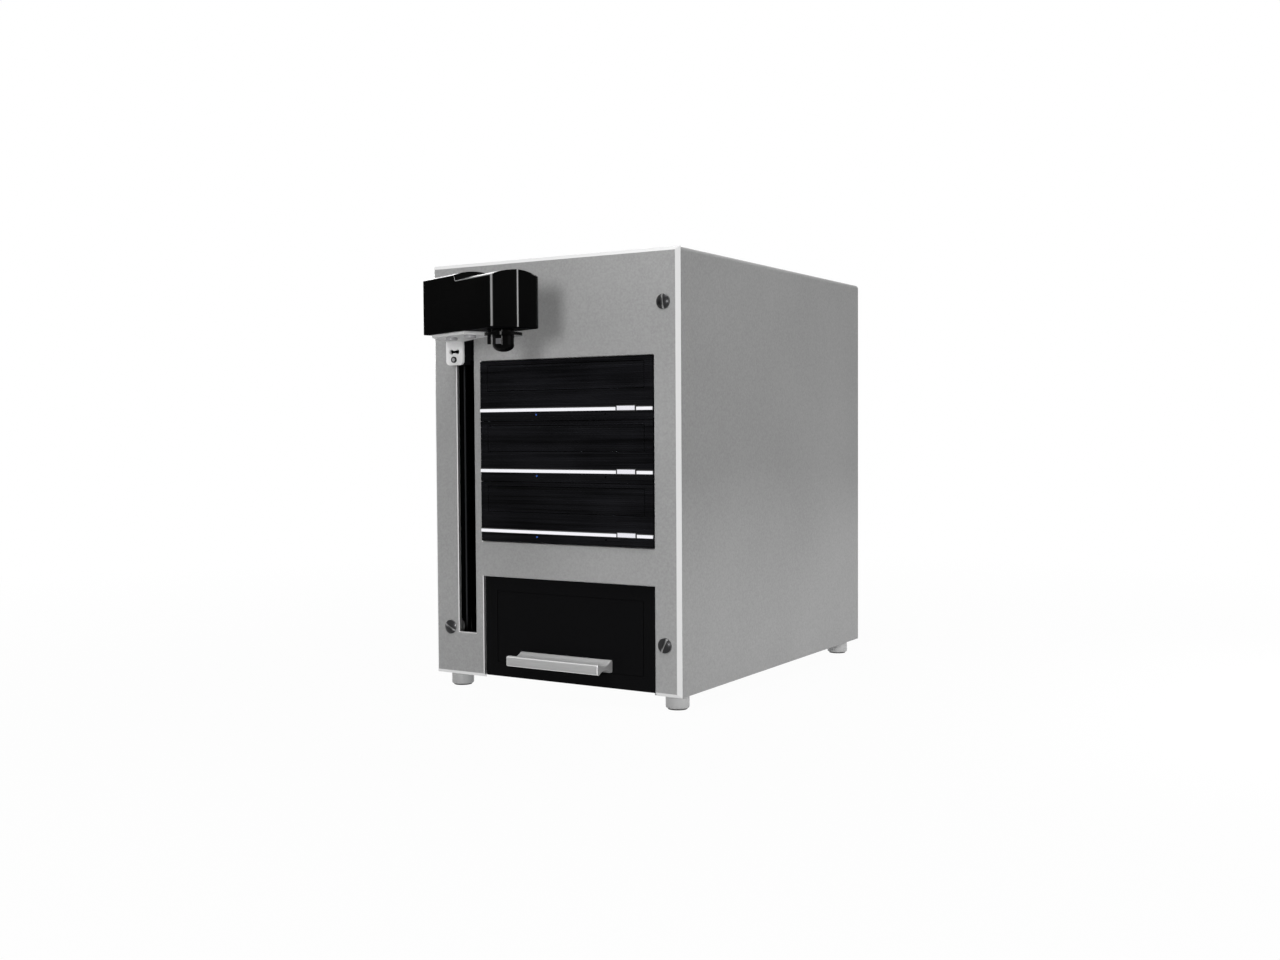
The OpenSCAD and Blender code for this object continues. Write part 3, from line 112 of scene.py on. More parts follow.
# a fine grain: noise of grainMm drawn out by stretch moves colour, roughness and height a little, and a
# slow cloud of cloudMm keeps large faces from being even; spread takes only that part of the noise, for
# contrast; a mask turns the surface to the bare look, with a colour, roughness and metal of its own
def grainMaterial(name, dark, light, rough, metallic, grainMm, deep, stretch=(1, 1, 1), cloudMm=70,
                  even=None, mask=None, bare=None, spread=(0.0, 1.0)):
    fixed = {} if mask else {"Metallic": metallic}
    material, tree, shader, place = startMaterial(name, {**fixed, **(even or {})})
    drawn = put(tree, "ShaderNodeMapping", {"Scale": stretch}, {"Vector": place}).outputs[0]
    grain = put(tree, "ShaderNodeTexNoise", {"Scale": perMetre(grainMm), "Detail": noise["grainDetail"]},
                {"Vector": drawn}).outputs[0]
    cloud = put(tree, "ShaderNodeTexNoise", {"Scale": perMetre(cloudMm), "Detail": noise["cloudDetail"]},
                {"Vector": place}).outputs[0]
    mixed = put(tree, "ShaderNodeMix", {"data_type": "FLOAT", mixShare: noise["cloudShare"]},
                {numberA: grain, numberB: cloud}).outputs[numberOut]
    both = put(tree, "ShaderNodeMapRange", {"From Min": spread[0], "From Max": spread[1]},
               {"Value": mixed}).outputs[0]
    ends = {colourA: hexColour(dark), colourB: hexColour(light)}
    tint = put(tree, "ShaderNodeMix", {"data_type": "RGBA", **ends}, {mixShare: both}).outputs[colourOut]
    shine = put(tree, "ShaderNodeMapRange", {"To Min": rough[0], "To Max": rough[1]},
                {"Value": both}).outputs[0]
    if mask:
        share = mask(tree, place)
        tint = put(tree, "ShaderNodeMix", {"data_type": "RGBA", colourB: hexColour(bare["colour"])},
                   {mixShare: share, colourA: tint}).outputs[colourOut]
        shine = put(tree, "ShaderNodeMix", {"data_type": "FLOAT", numberB: bare["rough"]},
                    {mixShare: share, numberA: shine}).outputs[numberOut]
        metal = put(tree, "ShaderNodeMapRange", {"To Min": metallic, "To Max": bare["metallic"]},
                    {"Value": share}).outputs[0]
        tree.links.new(metal, shader.inputs["Metallic"])
    bump = put(tree, "ShaderNodeBump", {"Strength": noise["bump"], "Distance": deep / 1000},
               {"Height": grain}).outputs[0]
    for socket, source in (("Base Color", tint), ("Roughness", shine), ("Normal", bump)):
        tree.links.new(source, shader.inputs[socket])
    return material


# metres that the masks below work with
cutEdge = {"from": 0.00004, "to": 0.00012}
paintedShadeRing = {"from": 0.00135, "to": 0.00285, "soft": 0.0003}
carrier = {"below": 0.0008, "above": 0.0005, "soft": 0.0002}
buttonLine = {"across": 0.0021, "upright": 0.0013, "soft": 0.0002}


# mask for what lies behind the front face: the chamfer and the cut-outs' walls, cut after finishing
def behindFace(tree, place):
    depth = put(tree, "ShaderNodeSeparateXYZ", None, {0: place}).outputs["Y"]
    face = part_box("front_panel")[0][1]
    ends = {"From Min": face + cutEdge["from"], "From Max": face + cutEdge["to"]}
    return put(tree, "ShaderNodeMapRange", ends, {"Value": depth}).outputs[0]


# one between two values and nothing outside them, with a soft step at both
def band(tree, value, low, high, soft):
    upward = {"From Min": low - soft / 2, "From Max": low + soft / 2}
    downward = {"From Min": high + soft / 2, "From Max": high - soft / 2}
    rise = put(tree, "ShaderNodeMapRange", upward, {"Value": value}).outputs[0]
    fall = put(tree, "ShaderNodeMapRange", downward, {"Value": value}).outputs[0]
    return put(tree, "ShaderNodeMath", {"operation": "MULTIPLY"}, {0: rise, 1: fall}).outputs[0]


# mask for a ring of painted shade round the plate screw's axis, by the distance from it in X and Z
plateScrew = (30.45, 0, 232.35)


def paintedScrewShade(tree, place):
    flat = (1, 0, 1)
    axis = (toRow(plateScrew) * flat).tolist()
    level = put(tree, "ShaderNodeVectorMath", {"operation": "MULTIPLY", 1: flat}, {0: place}).outputs[0]
    away = put(tree, "ShaderNodeVectorMath", {"operation": "DISTANCE", 1: axis}, {0: level})
    return band(tree, away.outputs["Value"], paintedShadeRing["from"], paintedShadeRing["to"], paintedShadeRing["soft"])


# mask for the upper edge of each bright strip, where the foil stops short and its black carrier shows;
# the heights come from the strips' own mesh, a bottom and a top in turn
def carrierEdge(tree, place):
    mesh = nodes["drive_strips"].data
    corners = np.zeros(3 * len(mesh.vertices), np.float32)
    mesh.vertices.foreach_get("co", corners)
    tops = np.unique(np.round(corners[2::3], 5))[1::2]
    height = put(tree, "ShaderNodeSeparateXYZ", None, {0: place}).outputs["Z"]
    shares = [band(tree, height, top - carrier["below"], top + carrier["above"], carrier["soft"])
              for top in tops]
    total = shares[0]
    for share in shares[1:]:
        total = put(tree, "ShaderNodeMath", {"operation": "ADD"}, {0: total, 1: share}).outputs[0]
    return total


# mask for the dark line round an eject button's face, from its own box, whose stop is wider than the face
def buttonRim(name):
    def mask(tree, place):
        low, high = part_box(name)
        parts = put(tree, "ShaderNodeSeparateXYZ", None, {0: place}).outputs
        aside, over, soft = buttonLine["across"], buttonLine["upright"], buttonLine["soft"]
        across = band(tree, parts["X"], low[0] + aside, high[0] - aside, soft)
        upright = band(tree, parts["Z"], low[2] + over, high[2] - over, soft)
        face = put(tree, "ShaderNodeMath", {"operation": "MULTIPLY"}, {0: across, 1: upright}).outputs[0]
        return put(tree, "ShaderNodeMath", {"operation": "SUBTRACT", 0: 1.0}, {1: face}).outputs[0]
    return mask


# mask from a piece's own attribute: edges and slots where the finish is rubbed through, and on the arm's shell
# pale painted highlights along its edges
def rubbedAndHighlights(tree, place):
    return put(tree, "ShaderNodeAttribute", {"attribute_name": "rubbedAndHighlights"}).outputs["Fac"]


# levels of gloss, held low because the surround of the photograph is darker than a white room
faintGloss = {"IOR": 1.46, "Specular IOR Level": 0.0005}
blackGloss = {"IOR": 1.46, "Specular IOR Level": 0.02}
wetGloss = {"IOR": 1.46, "Specular IOR Level": 0.03}
softSatin = {"Specular IOR Level": 0.2}
# each finish: dark and light colour, roughness from and to, metal, grain and its depth in millimetres;
# blasted, sprayed, plated, ground and eroded grains are finer in life, and drawn as coarse as they need to show
finishes = {
    # aluminium panel, bead blasted and anodised: even satin grey, bright edges where it was cut afterwards
    "anodisedPanel": grainMaterial(
        "anodisedPanel", "#858585", "#b7b7b7", (0.38, 0.5), 0.08, 1.4, 0.02, cloudMm=90, even=softSatin,
        mask=behindFace, bare={"colour": "#dadada", "rough": 0.32, "metallic": 0.8}),
    # silver paint over folded sheet, sprayed: even satin grey with a fine sparkle
    "silverPaint": grainMaterial(
        "silverPaint", "#828282", "#bababa", (0.4, 0.52), 0.08, 1.4, 0.02, cloudMm=120, even=softSatin),
    # zinc plated sheet, rolled: cool grey with a soft bloom
    "zincSheet": grainMaterial(
        "zincSheet", "#8f9396", "#b4b8bb", (0.3, 0.45), 1.0, 2.5, 0.01, cloudMm=22),
    # zinc plated sheet of the inner frames, a darker copy of the zinc sheet for painted shade: dull deep grey
    "zincPaintedShade": grainMaterial(
        "zincPaintedShade", "#4b4d50", "#696b6e", (0.4, 0.55), 1.0, 2.5, 0.01, cloudMm=22),
    # bright zinc plate, barrel polished: nearly white
    "brightZinc": grainMaterial("brightZinc", "#dcdcdc", "#f2f2f2", (0.22, 0.34), 0.8, 1.2, 0.008),
    # zinc plate on the bracket, white passivated: pale and nearly matt
    "bracketZinc": grainMaterial(
        "bracketZinc", "#ececec", "#fcfcfc", (0.42, 0.52), 0.0, 1.2, 0.008, even=softSatin),
    # bracket screws: dull zinc, with a dark rim of painted shade on the plate's screw head
    "bracketSteel": grainMaterial(
        "bracketSteel", "#8c8c8e", "#aaaaac", (0.45, 0.55), 0.3, 0.8, 0.006,
        mask=paintedScrewShade, bare={"colour": "#1a1a1b", "rough": 0.4, "metallic": 0.6}),
    # blackened steel, turned: dark with a dull shine, and on the front screws bare in the slots
    "blackenedSteel": grainMaterial(
        "blackenedSteel", "#1d1d1e", "#363637", (0.28, 0.42), 0.85, 0.6, 0.01),
    "rubbedSteel": grainMaterial(
        "rubbedSteel", "#1d1d1e", "#343435", (0.24, 0.36), 0.85, 0.5, 0.006,
        mask=rubbedAndHighlights, bare={"colour": "#8d8d8d", "rough": 0.3, "metallic": 1.0}),
    # ground steel rod: fine rings round its length
    "groundSteel": grainMaterial(
        "groundSteel", "#232426", "#3a3b3d", (0.2, 0.32), 1.0, 0.5, 0.004, (1, 1, 4)),
    # polished steel fingers: half bright, with faint lines along their height from the discs
    "polishedSteel": grainMaterial(
        "polishedSteel", "#4a4a4c", "#68686a", (0.14, 0.24), 1.0, 0.5, 0.004, (1, 1, 0.2)),
    # satin anodised aluminium, extruded: fine lines along it, bright where its edges are rubbed
    "satinAluminium": grainMaterial(
        "satinAluminium", "#a6a6a6", "#bebebe", (0.34, 0.44), 0.08, 0.5, 0.01, (0.05, 1, 1), even=softSatin,
        mask=rubbedAndHighlights, bare={"colour": "#f4f4f4", "rough": 0.25, "metallic": 0.6}),
    # the same, turned: fine rings round it
    "turnedAluminium": grainMaterial(
        "turnedAluminium", "#b4b4b4", "#cecece", (0.22, 0.32), 0.1, 0.5, 0.01, (1, 1, 6), even=softSatin),
    # powder coat: black, with a fine orange peel
    "blackPowder": grainMaterial(
        "blackPowder", "#08080a", "#0f0f10", (0.5, 0.62), 0.0, 1.4, 0.05, cloudMm=40, even=blackGloss),
    # rubber, moulded: dull black
    "rubber": grainMaterial("rubber", "#101010", "#1b1b1b", (0.75, 0.9), 0.0, 0.8, 0.04),
    # ABS, polished in the mould: deep black with a slight wave, pale along its edges as painted highlights
    "glossAbs": grainMaterial(
        "glossAbs", "#0a0a0a", "#101010", (0.16, 0.22), 0.0, 30, 0.015, cloudMm=60, even=faintGloss,
        mask=rubbedAndHighlights, bare={"colour": "#bcbcbc", "rough": 0.3, "metallic": 0.0}),
    # the same ABS on the gripper's nose, wet looking where discs keep it polished
    "noseAbs": grainMaterial(
        "noseAbs", "#020202", "#060606", (0.08, 0.14), 0.0, 4, 0.01, cloudMm=20, even=wetGloss),
    # ABS, spark eroded mould: fine even grain
    "grainAbs": grainMaterial(
        "grainAbs", "#0a0a0b", "#111112", (0.4, 0.52), 0.0, 0.5, 0.03, cloudMm=50, even=blackGloss),
    # ABS bezel: half gloss, streaked along its fine ribs
    "bezelAbs": grainMaterial(
        "bezelAbs", "#060607", "#1a1a1d", (0.26, 0.36), 0.0, 2.2, 0.01, (0.02, 1, 1), cloudMm=50,
        even=blackGloss, spread=(0.36, 0.64)),
    # bright trim foil: near white with a cool cast, on a black carrier
    "trimFoil": grainMaterial(
        "trimFoil", "#f2f1f8", "#fbfbfe", (0.12, 0.2), 1.0, 1.0, 0.003, (0.1, 1, 1),
        mask=carrierEdge, bare={"colour": "#0a0a0c", "rough": 0.4, "metallic": 0.0}),
    # clear blue light pipe
    "bluePipe": grainMaterial("bluePipe", "#15408f", "#2559b4", (0.1, 0.2), 0.0, 1.0, 0.005),
    # solder resist over a board: green with a fine weave beneath
    "solderResist": grainMaterial("solderResist", "#0c3a20", "#155a33", (0.3, 0.45), 0.0, 1.2, 0.02),
}
# the same foil on the eject buttons, a little duller from fingers, with a dark line round it
buttons = ["drive_1_button", "drive_2_button", "drive_3_button"]
for name in buttons:
    finishes[name + "Foil"] = grainMaterial(
        name + "Foil", "#e4e3ea", "#f2f1f8", (0.16, 0.24), 1.0, 1.0, 0.003,
        mask=buttonRim(name), bare={"colour": "#2a2a2c", "rough": 0.4, "metallic": 0.0})
print("finishes:", len(finishes))

wears = {
    **{name + "Foil": [name] for name in buttons},
    "anodisedPanel": ["front_panel"],
    "silverPaint": ["wrap_cover", "rear_panel"],
    "zincSheet": ["base_plate", "slide_outers", "slide_middles", "slide_inners", "power_supply",
                  "drive_1_case", "drive_2_case", "drive_3_case"],
    "zincPaintedShade": ["frame_left", "frame_right"],
    "brightZinc": ["fan_guard"],
    "bracketZinc": ["arm_bracket"],
    "bracketSteel": ["bracket_screws"],
    "blackenedSteel": ["cover_screws", "gripper_solenoid", "guard_screws"],
    "rubbedSteel": ["front_screws"],
    "groundSteel": ["guide_rods", "idler_axle", "gripper_plunger"],
    "polishedSteel": ["gripper_finger_1", "gripper_finger_2", "gripper_finger_3"],
    "turnedAluminium": ["feet", "drive_pulley", "idler_pulley"],
    "satinAluminium": ["drawer_handle"],
    "blackPowder": ["lift_frame", "carriage", "lift_motor", "arm_base"],
    "rubber": ["foot_pads", "lift_belt"],
    "glossAbs": ["arm_housing"],
    "noseAbs": ["gripper_nose"],
    "grainAbs": ["drawer_front", "disc_sensor_pin", "drawer_bin", "fan_frame", "fan_rotor", "mains_inlet",
                 "power_switch", "drive_1_tray", "drive_2_tray", "drive_3_tray"],
    "bezelAbs": ["drive_1_bezel", "drive_2_bezel", "drive_3_bezel",
                 "drive_1_door", "drive_2_door", "drive_3_door"],
    "trimFoil": ["drive_strips"],
    "bluePipe": ["drive_lamps"],
    "solderResist": ["controller_board"],
}
for finish, names in wears.items():
    for name in names:
        mesh = nodes[name].data
        mesh.materials.clear()
        mesh.materials.append(finishes[finish])
print("dressed:", sum(len(n) for n in wears.values()), "nodes")

# metres under which points merge and edges count as nothing
merge = {"points": 1e-6, "edges": 1e-7}


# grids of points, each rows x columns, become one mesh: neighbours make quads, columns close on themselves,
# points that meet are merged, and edges sharper than the angle stay crisp
def addPiece(name, grids, finish, body, node, sharp, marks=None):
    corners, quads, start = [], [], 0
    for grid in grids:
        rows, columns = grid.shape[:2]
        index = start + np.arange(rows * columns).reshape(rows, columns)
        index = np.hstack([index, index[:, :1]])
        around = [index[:-1, :-1], index[:-1, 1:], index[1:, 1:], index[1:, :-1]]
        quads.append(np.stack(around, -1).reshape(-1, 4))
        corners.append(toRow(grid.reshape(-1, 3)))
        start += rows * columns
    mesh = bpy.data.meshes.new(name)
    mesh.from_pydata(np.vstack(corners).tolist(), [], np.vstack(quads).tolist())
    values = np.zeros(start) if marks is None else np.concatenate([m.ravel() for m in marks])
    mesh.attributes.new("rubbedAndHighlights", "FLOAT", "POINT").data.foreach_set("value", values)
    work = bmesh.new()
    work.from_mesh(mesh)
    bmesh.ops.remove_doubles(work, verts=work.verts, dist=merge["points"])
    bmesh.ops.dissolve_degenerate(work, edges=work.edges, dist=merge["edges"])
    bmesh.ops.recalc_face_normals(work, faces=work.faces)
    work.to_mesh(mesh)
    work.free()
    mesh.shade_smooth()
    mesh.set_sharp_from_angle(angle=math.radians(sharp))
    mesh.materials.append(finishes[finish])
    piece = bpy.data.objects.new(name, mesh)
    bpy.context.scene.collection.objects.link(piece)
    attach(piece, body)
    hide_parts(node)
    print("piece:", name, len(mesh.polygons), "faces")


# loader arm's housing: an outline with rounded corners carried up the sides, turned over at the top edge,
# then drawn in to the middle line over an arched top with a sloping step; inside it comes down to the rim
arm = {"turn": 22.6, "grip": (118.3, -69.0), "origin": 79.7987, "long": 95.5976, "wide": 36.0, "prow": 3.0,
       "under": 247.35, "side": 33.6, "crown": 3.7, "step": 3.7, "stepAt": (44.0, 48.0), "stepBelow": 1.0,
       "wall": 2.0, "line": 0.7, "edge": 0.12, "foot": 0.5, "radii": (1.6, 1.6, 1.2, 3.5, 1.6),
       "leastRadius": 0.3, "innerRadius": 0.4, "cornerSteps": 10, "edgeSteps": 7, "middleFrom": 18,
       "rootRun": (42, 13), "stepRun": (42.5, 49, 0.15), "frontRun": (50, 10),
       "endShares": (0.03, 0.06, 0.3, 0.6, 0.92, 0.96), "topShares": (0.06, 1, 14)}
# painted highlights, pale on the front's upright corners and ridge, the front half's top edge, and the step's
# edge
armPaintedHighlights = {"corner": 1.15, "cornerReach": 1.1, "ridge": 1.25, "ridgeReach": 0.55, "edgeRows": 5,
           "sideReach": 2, "topLine": 0.8, "topFrom": 0.4, "notchAt": 46.6, "notchReach": 1.0}


# corners of the outline moved inwards evenly: each side's line shifts, and neighbours meet again
def insetCorners(corners, by):
    after = np.roll(corners, -1, 0) - corners
    along = after / np.linalg.norm(after, axis=1, keepdims=True)
    inward = np.stack([-along[:, 1], along[:, 0]], 1)
    level = np.sum(inward * corners, 1) + by
    before, levelBefore = np.roll(inward, 1, 0), np.roll(level, 1)
    cross = before[:, 0] * inward[:, 1] - before[:, 1] * inward[:, 0]
    return np.stack([levelBefore * inward[:, 1] - level * before[:, 1],
                     level * before[:, 0] - levelBefore * inward[:, 0]], 1) / cross[:, None]


# the arm's outline: an arc at each corner, the same stations along both long sides, and a few on the ends
def armOutline(by, radii, stations):
    long, wide, prow = arm["long"], arm["wide"], arm["prow"]
    corners = np.array([(0, 0), (long, 0), (long + prow, wide / 2), (long, wide), (0, wide)])
    longSides = {0: stations, 3: stations[::-1]}
    spots = insetCorners(corners, by)
    parts = []
    for k, radius in enumerate(radii):
        here, following = spots[k], spots[(k + 1) % len(spots)]
        back, ahead = spots[k - 1] - here, following - here
        back, ahead = back / np.linalg.norm(back), ahead / np.linalg.norm(ahead)
        half = math.acos(float(back @ ahead)) / 2
        middle = here + (back + ahead) / np.linalg.norm(back + ahead) * radius / math.sin(half)
        first = here + back * radius / math.tan(half) - middle
        turn = math.pi - 2 * half
        angle = math.atan2(first[1], first[0]) + turn * np.linspace(0, 1, arm["cornerSteps"])
        parts.append(middle + radius * np.stack([np.cos(angle), np.sin(angle)], 1))
        if k in longSides:
            parts.append(np.stack([longSides[k], np.full(len(stations), here[1])], 1))
        else:
            end = parts[-1][-1]
            parts.append(end + (following - end) * np.array(arm["endShares"])[:, None])
    return np.vstack(parts)


# height of the arm's top: an arc across it, and a root half that stands higher behind a slope
def armTop(points):
    across = points[:, 1] - arm["wide"] / 2
    radius = (arm["wide"] ** 2 / 4 + arm["crown"] ** 2) / (2 * arm["crown"])
    low = arm["side"] + np.sqrt(radius ** 2 - across ** 2) - radius + arm["crown"]
    first, last = arm["stepAt"]
    peak = arm["side"] + arm["step"] + arm["crown"]
    drop = arm["step"] + arm["crown"] + arm["stepBelow"]
    slope = peak - (points[:, 0] - first) * drop / (last - first)
    return np.maximum(low, np.minimum(low + arm["step"], slope))


# the rows run from the roof inside, down to the rim, up the outside and over the top; with them the painted
# highlights
def armGrid():
    ends = arm["middleFrom"], arm["long"] - arm["middleFrom"]
    frontStart, frontSteps = arm["frontRun"]
    stations = np.concatenate([np.linspace(ends[0], *arm["rootRun"]), np.arange(*arm["stepRun"]),
                               np.linspace(frontStart, ends[1], frontSteps)])
    radii = np.array(arm["radii"])
    lift = np.linspace(0, math.pi / 2, arm["edgeSteps"])
    rows = []

    def inset(by):
        return armOutline(by, np.maximum(radii - by, arm["leastRadius"]), stations)

    def ring(by, height):
        outline = inset(by)
        rows.append(np.column_stack([outline, np.full(len(outline), height)]))

    def drawIn(outline, shares, heights):
        middle = np.column_stack([np.clip(outline[:, 0], *ends), np.full(len(outline), arm["wide"] / 2)])
        for share in shares:
            spot = outline * (1 - share) + middle * share
            rows.append(np.column_stack([spot, heights(spot)]))

    roof = arm["side"] - arm["wall"]
    inner = armOutline(arm["wall"], np.full(len(radii), arm["innerRadius"]), stations)
    drawIn(inner, [1, 0.5, 0], lambda spot: np.full(len(spot), roof))
    ring(arm["wall"], arm["foot"])
    for angle in lift[::2]:
        ring(arm["foot"] * (1 - math.sin(angle)), arm["foot"] * (1 - math.cos(angle)))
    bottomRow, edge = len(rows), arm["edge"]
    outer = inset(edge)
    rim = armTop(outer) - edge
    outline = inset(0)
    for height in (arm["foot"] + (rim - arm["foot"]) / 2, rim - arm["line"], rim):
        rows.append(np.column_stack([outline, height]))
    topRow = len(rows) - 1
    for angle in lift[1:]:
        outline = inset(edge * (1 - math.cos(angle)))
        rows.append(np.column_stack([outline, rim + edge * math.sin(angle)]))
    drawIn(outer, np.linspace(*arm["topShares"]), armTop)
    x, y, z = np.moveaxis(np.array(rows), -1, 0)
    aside = y - arm["wide"] / 2
    fromSide = np.minimum(y, arm["wide"] - y)
    fromCorner = np.hypot(x - arm["long"], fromSide)
    fromRidge = np.hypot(x - arm["long"] - arm["prow"], aside)
    # pale painted highlights on the front corners, the ridge, the top line and the step's notch
    corner = np.clip(armPaintedHighlights["corner"] - fromCorner / armPaintedHighlights["cornerReach"], 0, 1)
    ridge = np.clip(armPaintedHighlights["ridge"] - fromRidge / armPaintedHighlights["ridgeReach"], 0, 1)
    level = np.arange(len(rows))[:, None]
    upright = (level >= bottomRow - 1) & (level <= topRow)
    rounding = (level >= topRow) & (level < topRow + armPaintedHighlights["edgeRows"]) & (fromSide < armPaintedHighlights["sideReach"])
    topLine = rounding & (x > arm["stepAt"][1] - armPaintedHighlights["topFrom"])
    notch = rounding & (np.abs(x - armPaintedHighlights["notchAt"]) < armPaintedHighlights["notchReach"])
    mark = np.maximum(np.maximum(corner, ridge) * upright, np.maximum(armPaintedHighlights["topLine"] * topLine, notch))
    turn = math.radians(arm["turn"])
    ahead = x - arm["origin"]
    across = arm["grip"][0] + ahead * math.cos(turn) + aside * math.sin(turn)
    depth = arm["grip"][1] - ahead * math.sin(turn) + aside * math.cos(turn)
    return np.stack([across, depth, z + arm["under"]], -1), mark


grid, mark = armGrid()
addPiece("arm_shell", [grid], "glossAbs", "lift_carriage", "arm_housing", sharp=32,
         marks=[mark])

# drawer handle: an extruded section, a rounded front bar and a rear flange with a trough above and below,
# carried along X, with small chamfers at both ends; rubbed on the bar's and flange's edges and at the ends
handle = {"middle": 116.65, "long": 77.5, "deep": 19.0, "back": 3.0, "up": 16.8, "bar": 7.0, "flange": 8.8,
          "barEdge": 1.3, "flangeEdge": 0.6, "troughWide": 14.0, "trough": 2.3, "end": 0.35, "fade": 0.3,
          "faceFrom": 0.3, "edgeSteps": 7, "faceSteps": 40, "barRub": (0.15, 0.8), "flangeRub": 0.05}


def handleGrid():
    deep, bar, flange, trough = handle["deep"], handle["bar"], handle["flange"], handle["trough"]
    barEdge, flangeEdge = handle["barEdge"], handle["flangeEdge"]
    turn = np.linspace(0, math.pi / 2, handle["edgeSteps"])
    front = barEdge * (1 - np.cos(turn))
    rear = deep - flangeEdge * (1 - np.cos(turn[::-1]))
    face = np.linspace(front[-1] + handle["faceFrom"], rear[0] - handle["faceFrom"], handle["faceSteps"])
    along = np.concatenate([front, face, rear])
    half = (bar + (flange - bar) * along / deep) / 2
    radius = (handle["troughWide"] ** 2 / 4 + trough ** 2) / (2 * trough)
    level = (bar + flange) / 4
    offset = along - deep / 2
    dip = level + radius - trough - np.sqrt(np.maximum(radius ** 2 - offset ** 2, 0))
    top = np.where(np.abs(offset) < radius, np.minimum(half, dip), half)
    barTurn = np.clip(1 - along / barEdge, 0, 1)
    flangeTurn = np.clip(1 - (deep - along) / flangeEdge, 0, 1)
    barDrop = barEdge * (1 - np.sqrt(1 - barTurn ** 2))
    top = top - barDrop - flangeEdge * (1 - np.sqrt(1 - flangeTurn ** 2))
    section = np.concatenate([np.column_stack([along, top]), np.column_stack([along[::-1], -top[::-1]])])
    barFrom, barTo = handle["barRub"]
    edges = ((barTurn > barFrom) & (barTurn < barTo) | (flangeTurn > handle["flangeRub"])).astype(float)
    mark = np.concatenate([edges, edges[::-1]])
    x0, x1 = handle["middle"] - handle["long"] / 2, handle["middle"] + handle["long"] / 2
    end, fade = handle["end"], handle["end"] + handle["fade"]
    # from each end: distance, how far the section is drawn in, if it is open, and if it is rubbed
    steps = [(0, fade, 0, 0), (0, fade, 1, 0), (0, end, 1, 1), (end, 0, 1, 1), (fade, 0, 1, 0)]
    places = [(x0 + by, *rest) for by, *rest in steps] + [(x1 - by, *rest) for by, *rest in steps[::-1]]
    rows, marks = [], []
    for x, inset, isOpen, isRubbed in places:
        y = handle["back"] - deep + np.clip(section[:, 0], inset, deep)
        z = handle["up"] + np.sign(section[:, 1]) * (np.abs(section[:, 1]) - inset) * isOpen
        rows.append(np.column_stack([np.full(len(y), x), y, z]))
        marks.append(np.ones(len(y)) if isRubbed else mark * isOpen)
    return np.array(rows), np.array(marks)


grid, mark = handleGrid()
addPiece("pull_bar", [grid], "satinAluminium", "drawer", "drawer_handle", sharp=35,
         marks=[mark])


# a profile of radius and height turned about a line: radius along the two cross axes, height along the third
def turnedGrid(profile, centre, axes, steps):
    angle = np.linspace(0, 2 * math.pi, steps, endpoint=False)
    radius, height = np.array(profile).T
    grid = np.zeros((len(radius), steps, 3))
    grid[..., axes[0]] = radius[:, None] * np.cos(angle)
    grid[..., axes[1]] = radius[:, None] * np.sin(angle)
    grid[..., axes[2]] = height[:, None]
    return grid + np.array(centre)


# feet: turned cups with a rounded lower edge, a fine groove and a small chamfer under the case
foot = {"places": [(12, 17), (12, 291), (199.5, 17), (199.5, 291)], "wide": 16.5, "high": 9.7, "edge": 1.1,
        "ledge": 0.6, "grooveAt": (-2.3, -2.15, -1.85, -1.7), "grooveDeep": 0.25, "chamfer": 0.3,
        "edgeSteps": 8, "round": 96}


def footProfile():
    r, high, edge, chamfer = foot["wide"] / 2, foot["high"], foot["edge"], foot["chamfer"]
    turn = np.linspace(0, math.pi / 2, foot["edgeSteps"])
    lower = np.column_stack([r - edge + edge * np.sin(turn), -high + edge - edge * np.cos(turn)])
    within = r - foot["grooveDeep"]
    groove = np.column_stack([(r, within, within, r), foot["grooveAt"]])
    return np.vstack([[(0, -high), (r - edge - foot["ledge"], -high)], lower, groove,
                      [(r, -chamfer), (r - chamfer, 0), (0, 0)]])


feet = [turnedGrid(footProfile(), (x, y, 0), (0, 1, 2), foot["round"]) for x, y in foot["places"]]
addPiece("turned_feet", feet, "turnedAluminium", "case", "feet", sharp=30)

# front panel screws: a domed head turned about its axis, with a slot pressed in across it, over a plain
# shank; each place has the slot's own angle, and slot and rim are rubbed
screw = {"places": [(14.6, 35, 28), (14.6, 266.5, 74), (199.5, 35, -64), (199.5, 266.5, 84)], "wide": 10.4,
         "crown": 1.5, "curve": 2.4, "rim": -0.3, "under": 1.0, "slotWide": 1.1, "slotDeep": 1.0,
         "slotSoft": 0.24, "shank": 5.0, "tip": 11.5, "tipChamfer": 1, "slotRub": 0.85, "rimRub": 0.35,
         "rimWide": 0.25, "headSteps": 60, "round": 180}


def screwGrid(x, z, turn):
    r, shank, tip, chamfer = screw["wide"] / 2, screw["shank"] / 2, screw["tip"], screw["tipChamfer"]
    out = np.linspace(0, 1, screw["headSteps"]) * r
    dome = np.column_stack([out, screw["rim"] - screw["crown"] * (1 - (out / r) ** screw["curve"])])
    rest = np.array([(r, screw["under"]), (shank, screw["under"]), (shank, tip - chamfer),
                     (shank - chamfer, tip), (0, tip)])
    grid = turnedGrid(np.vstack([dome, rest]), (0, 0, 0), (0, 2, 1), screw["round"])
    angle, soft = math.radians(turn), screw["slotSoft"]
    aside = np.abs(grid[..., 0] * math.sin(angle) + grid[..., 2] * math.cos(angle))
    head = np.arange(grid.shape[0])[:, None] < len(dome)
    press = np.clip((screw["slotWide"] / 2 + soft / 2 - aside) / soft, 0, 1) * head
    bottom = screw["rim"] - screw["crown"] + screw["slotDeep"]
    grid[..., 1] += press * np.maximum(bottom - grid[..., 1], 0)
    onRim = (np.hypot(grid[..., 0], grid[..., 2]) > r - screw["rimWide"]) & head
    mark = screw["slotRub"] * (press > 0) + screw["rimRub"] * onRim
    return grid + np.array([x, 0, z]), np.clip(mark, 0, 1)


made = [screwGrid(*place) for place in screw["places"]]
addPiece("domed_screws", [m[0] for m in made], "rubbedSteel", "case", "front_screws", sharp=38,
         marks=[m[1] for m in made])

white = hexColour("#ffffff")


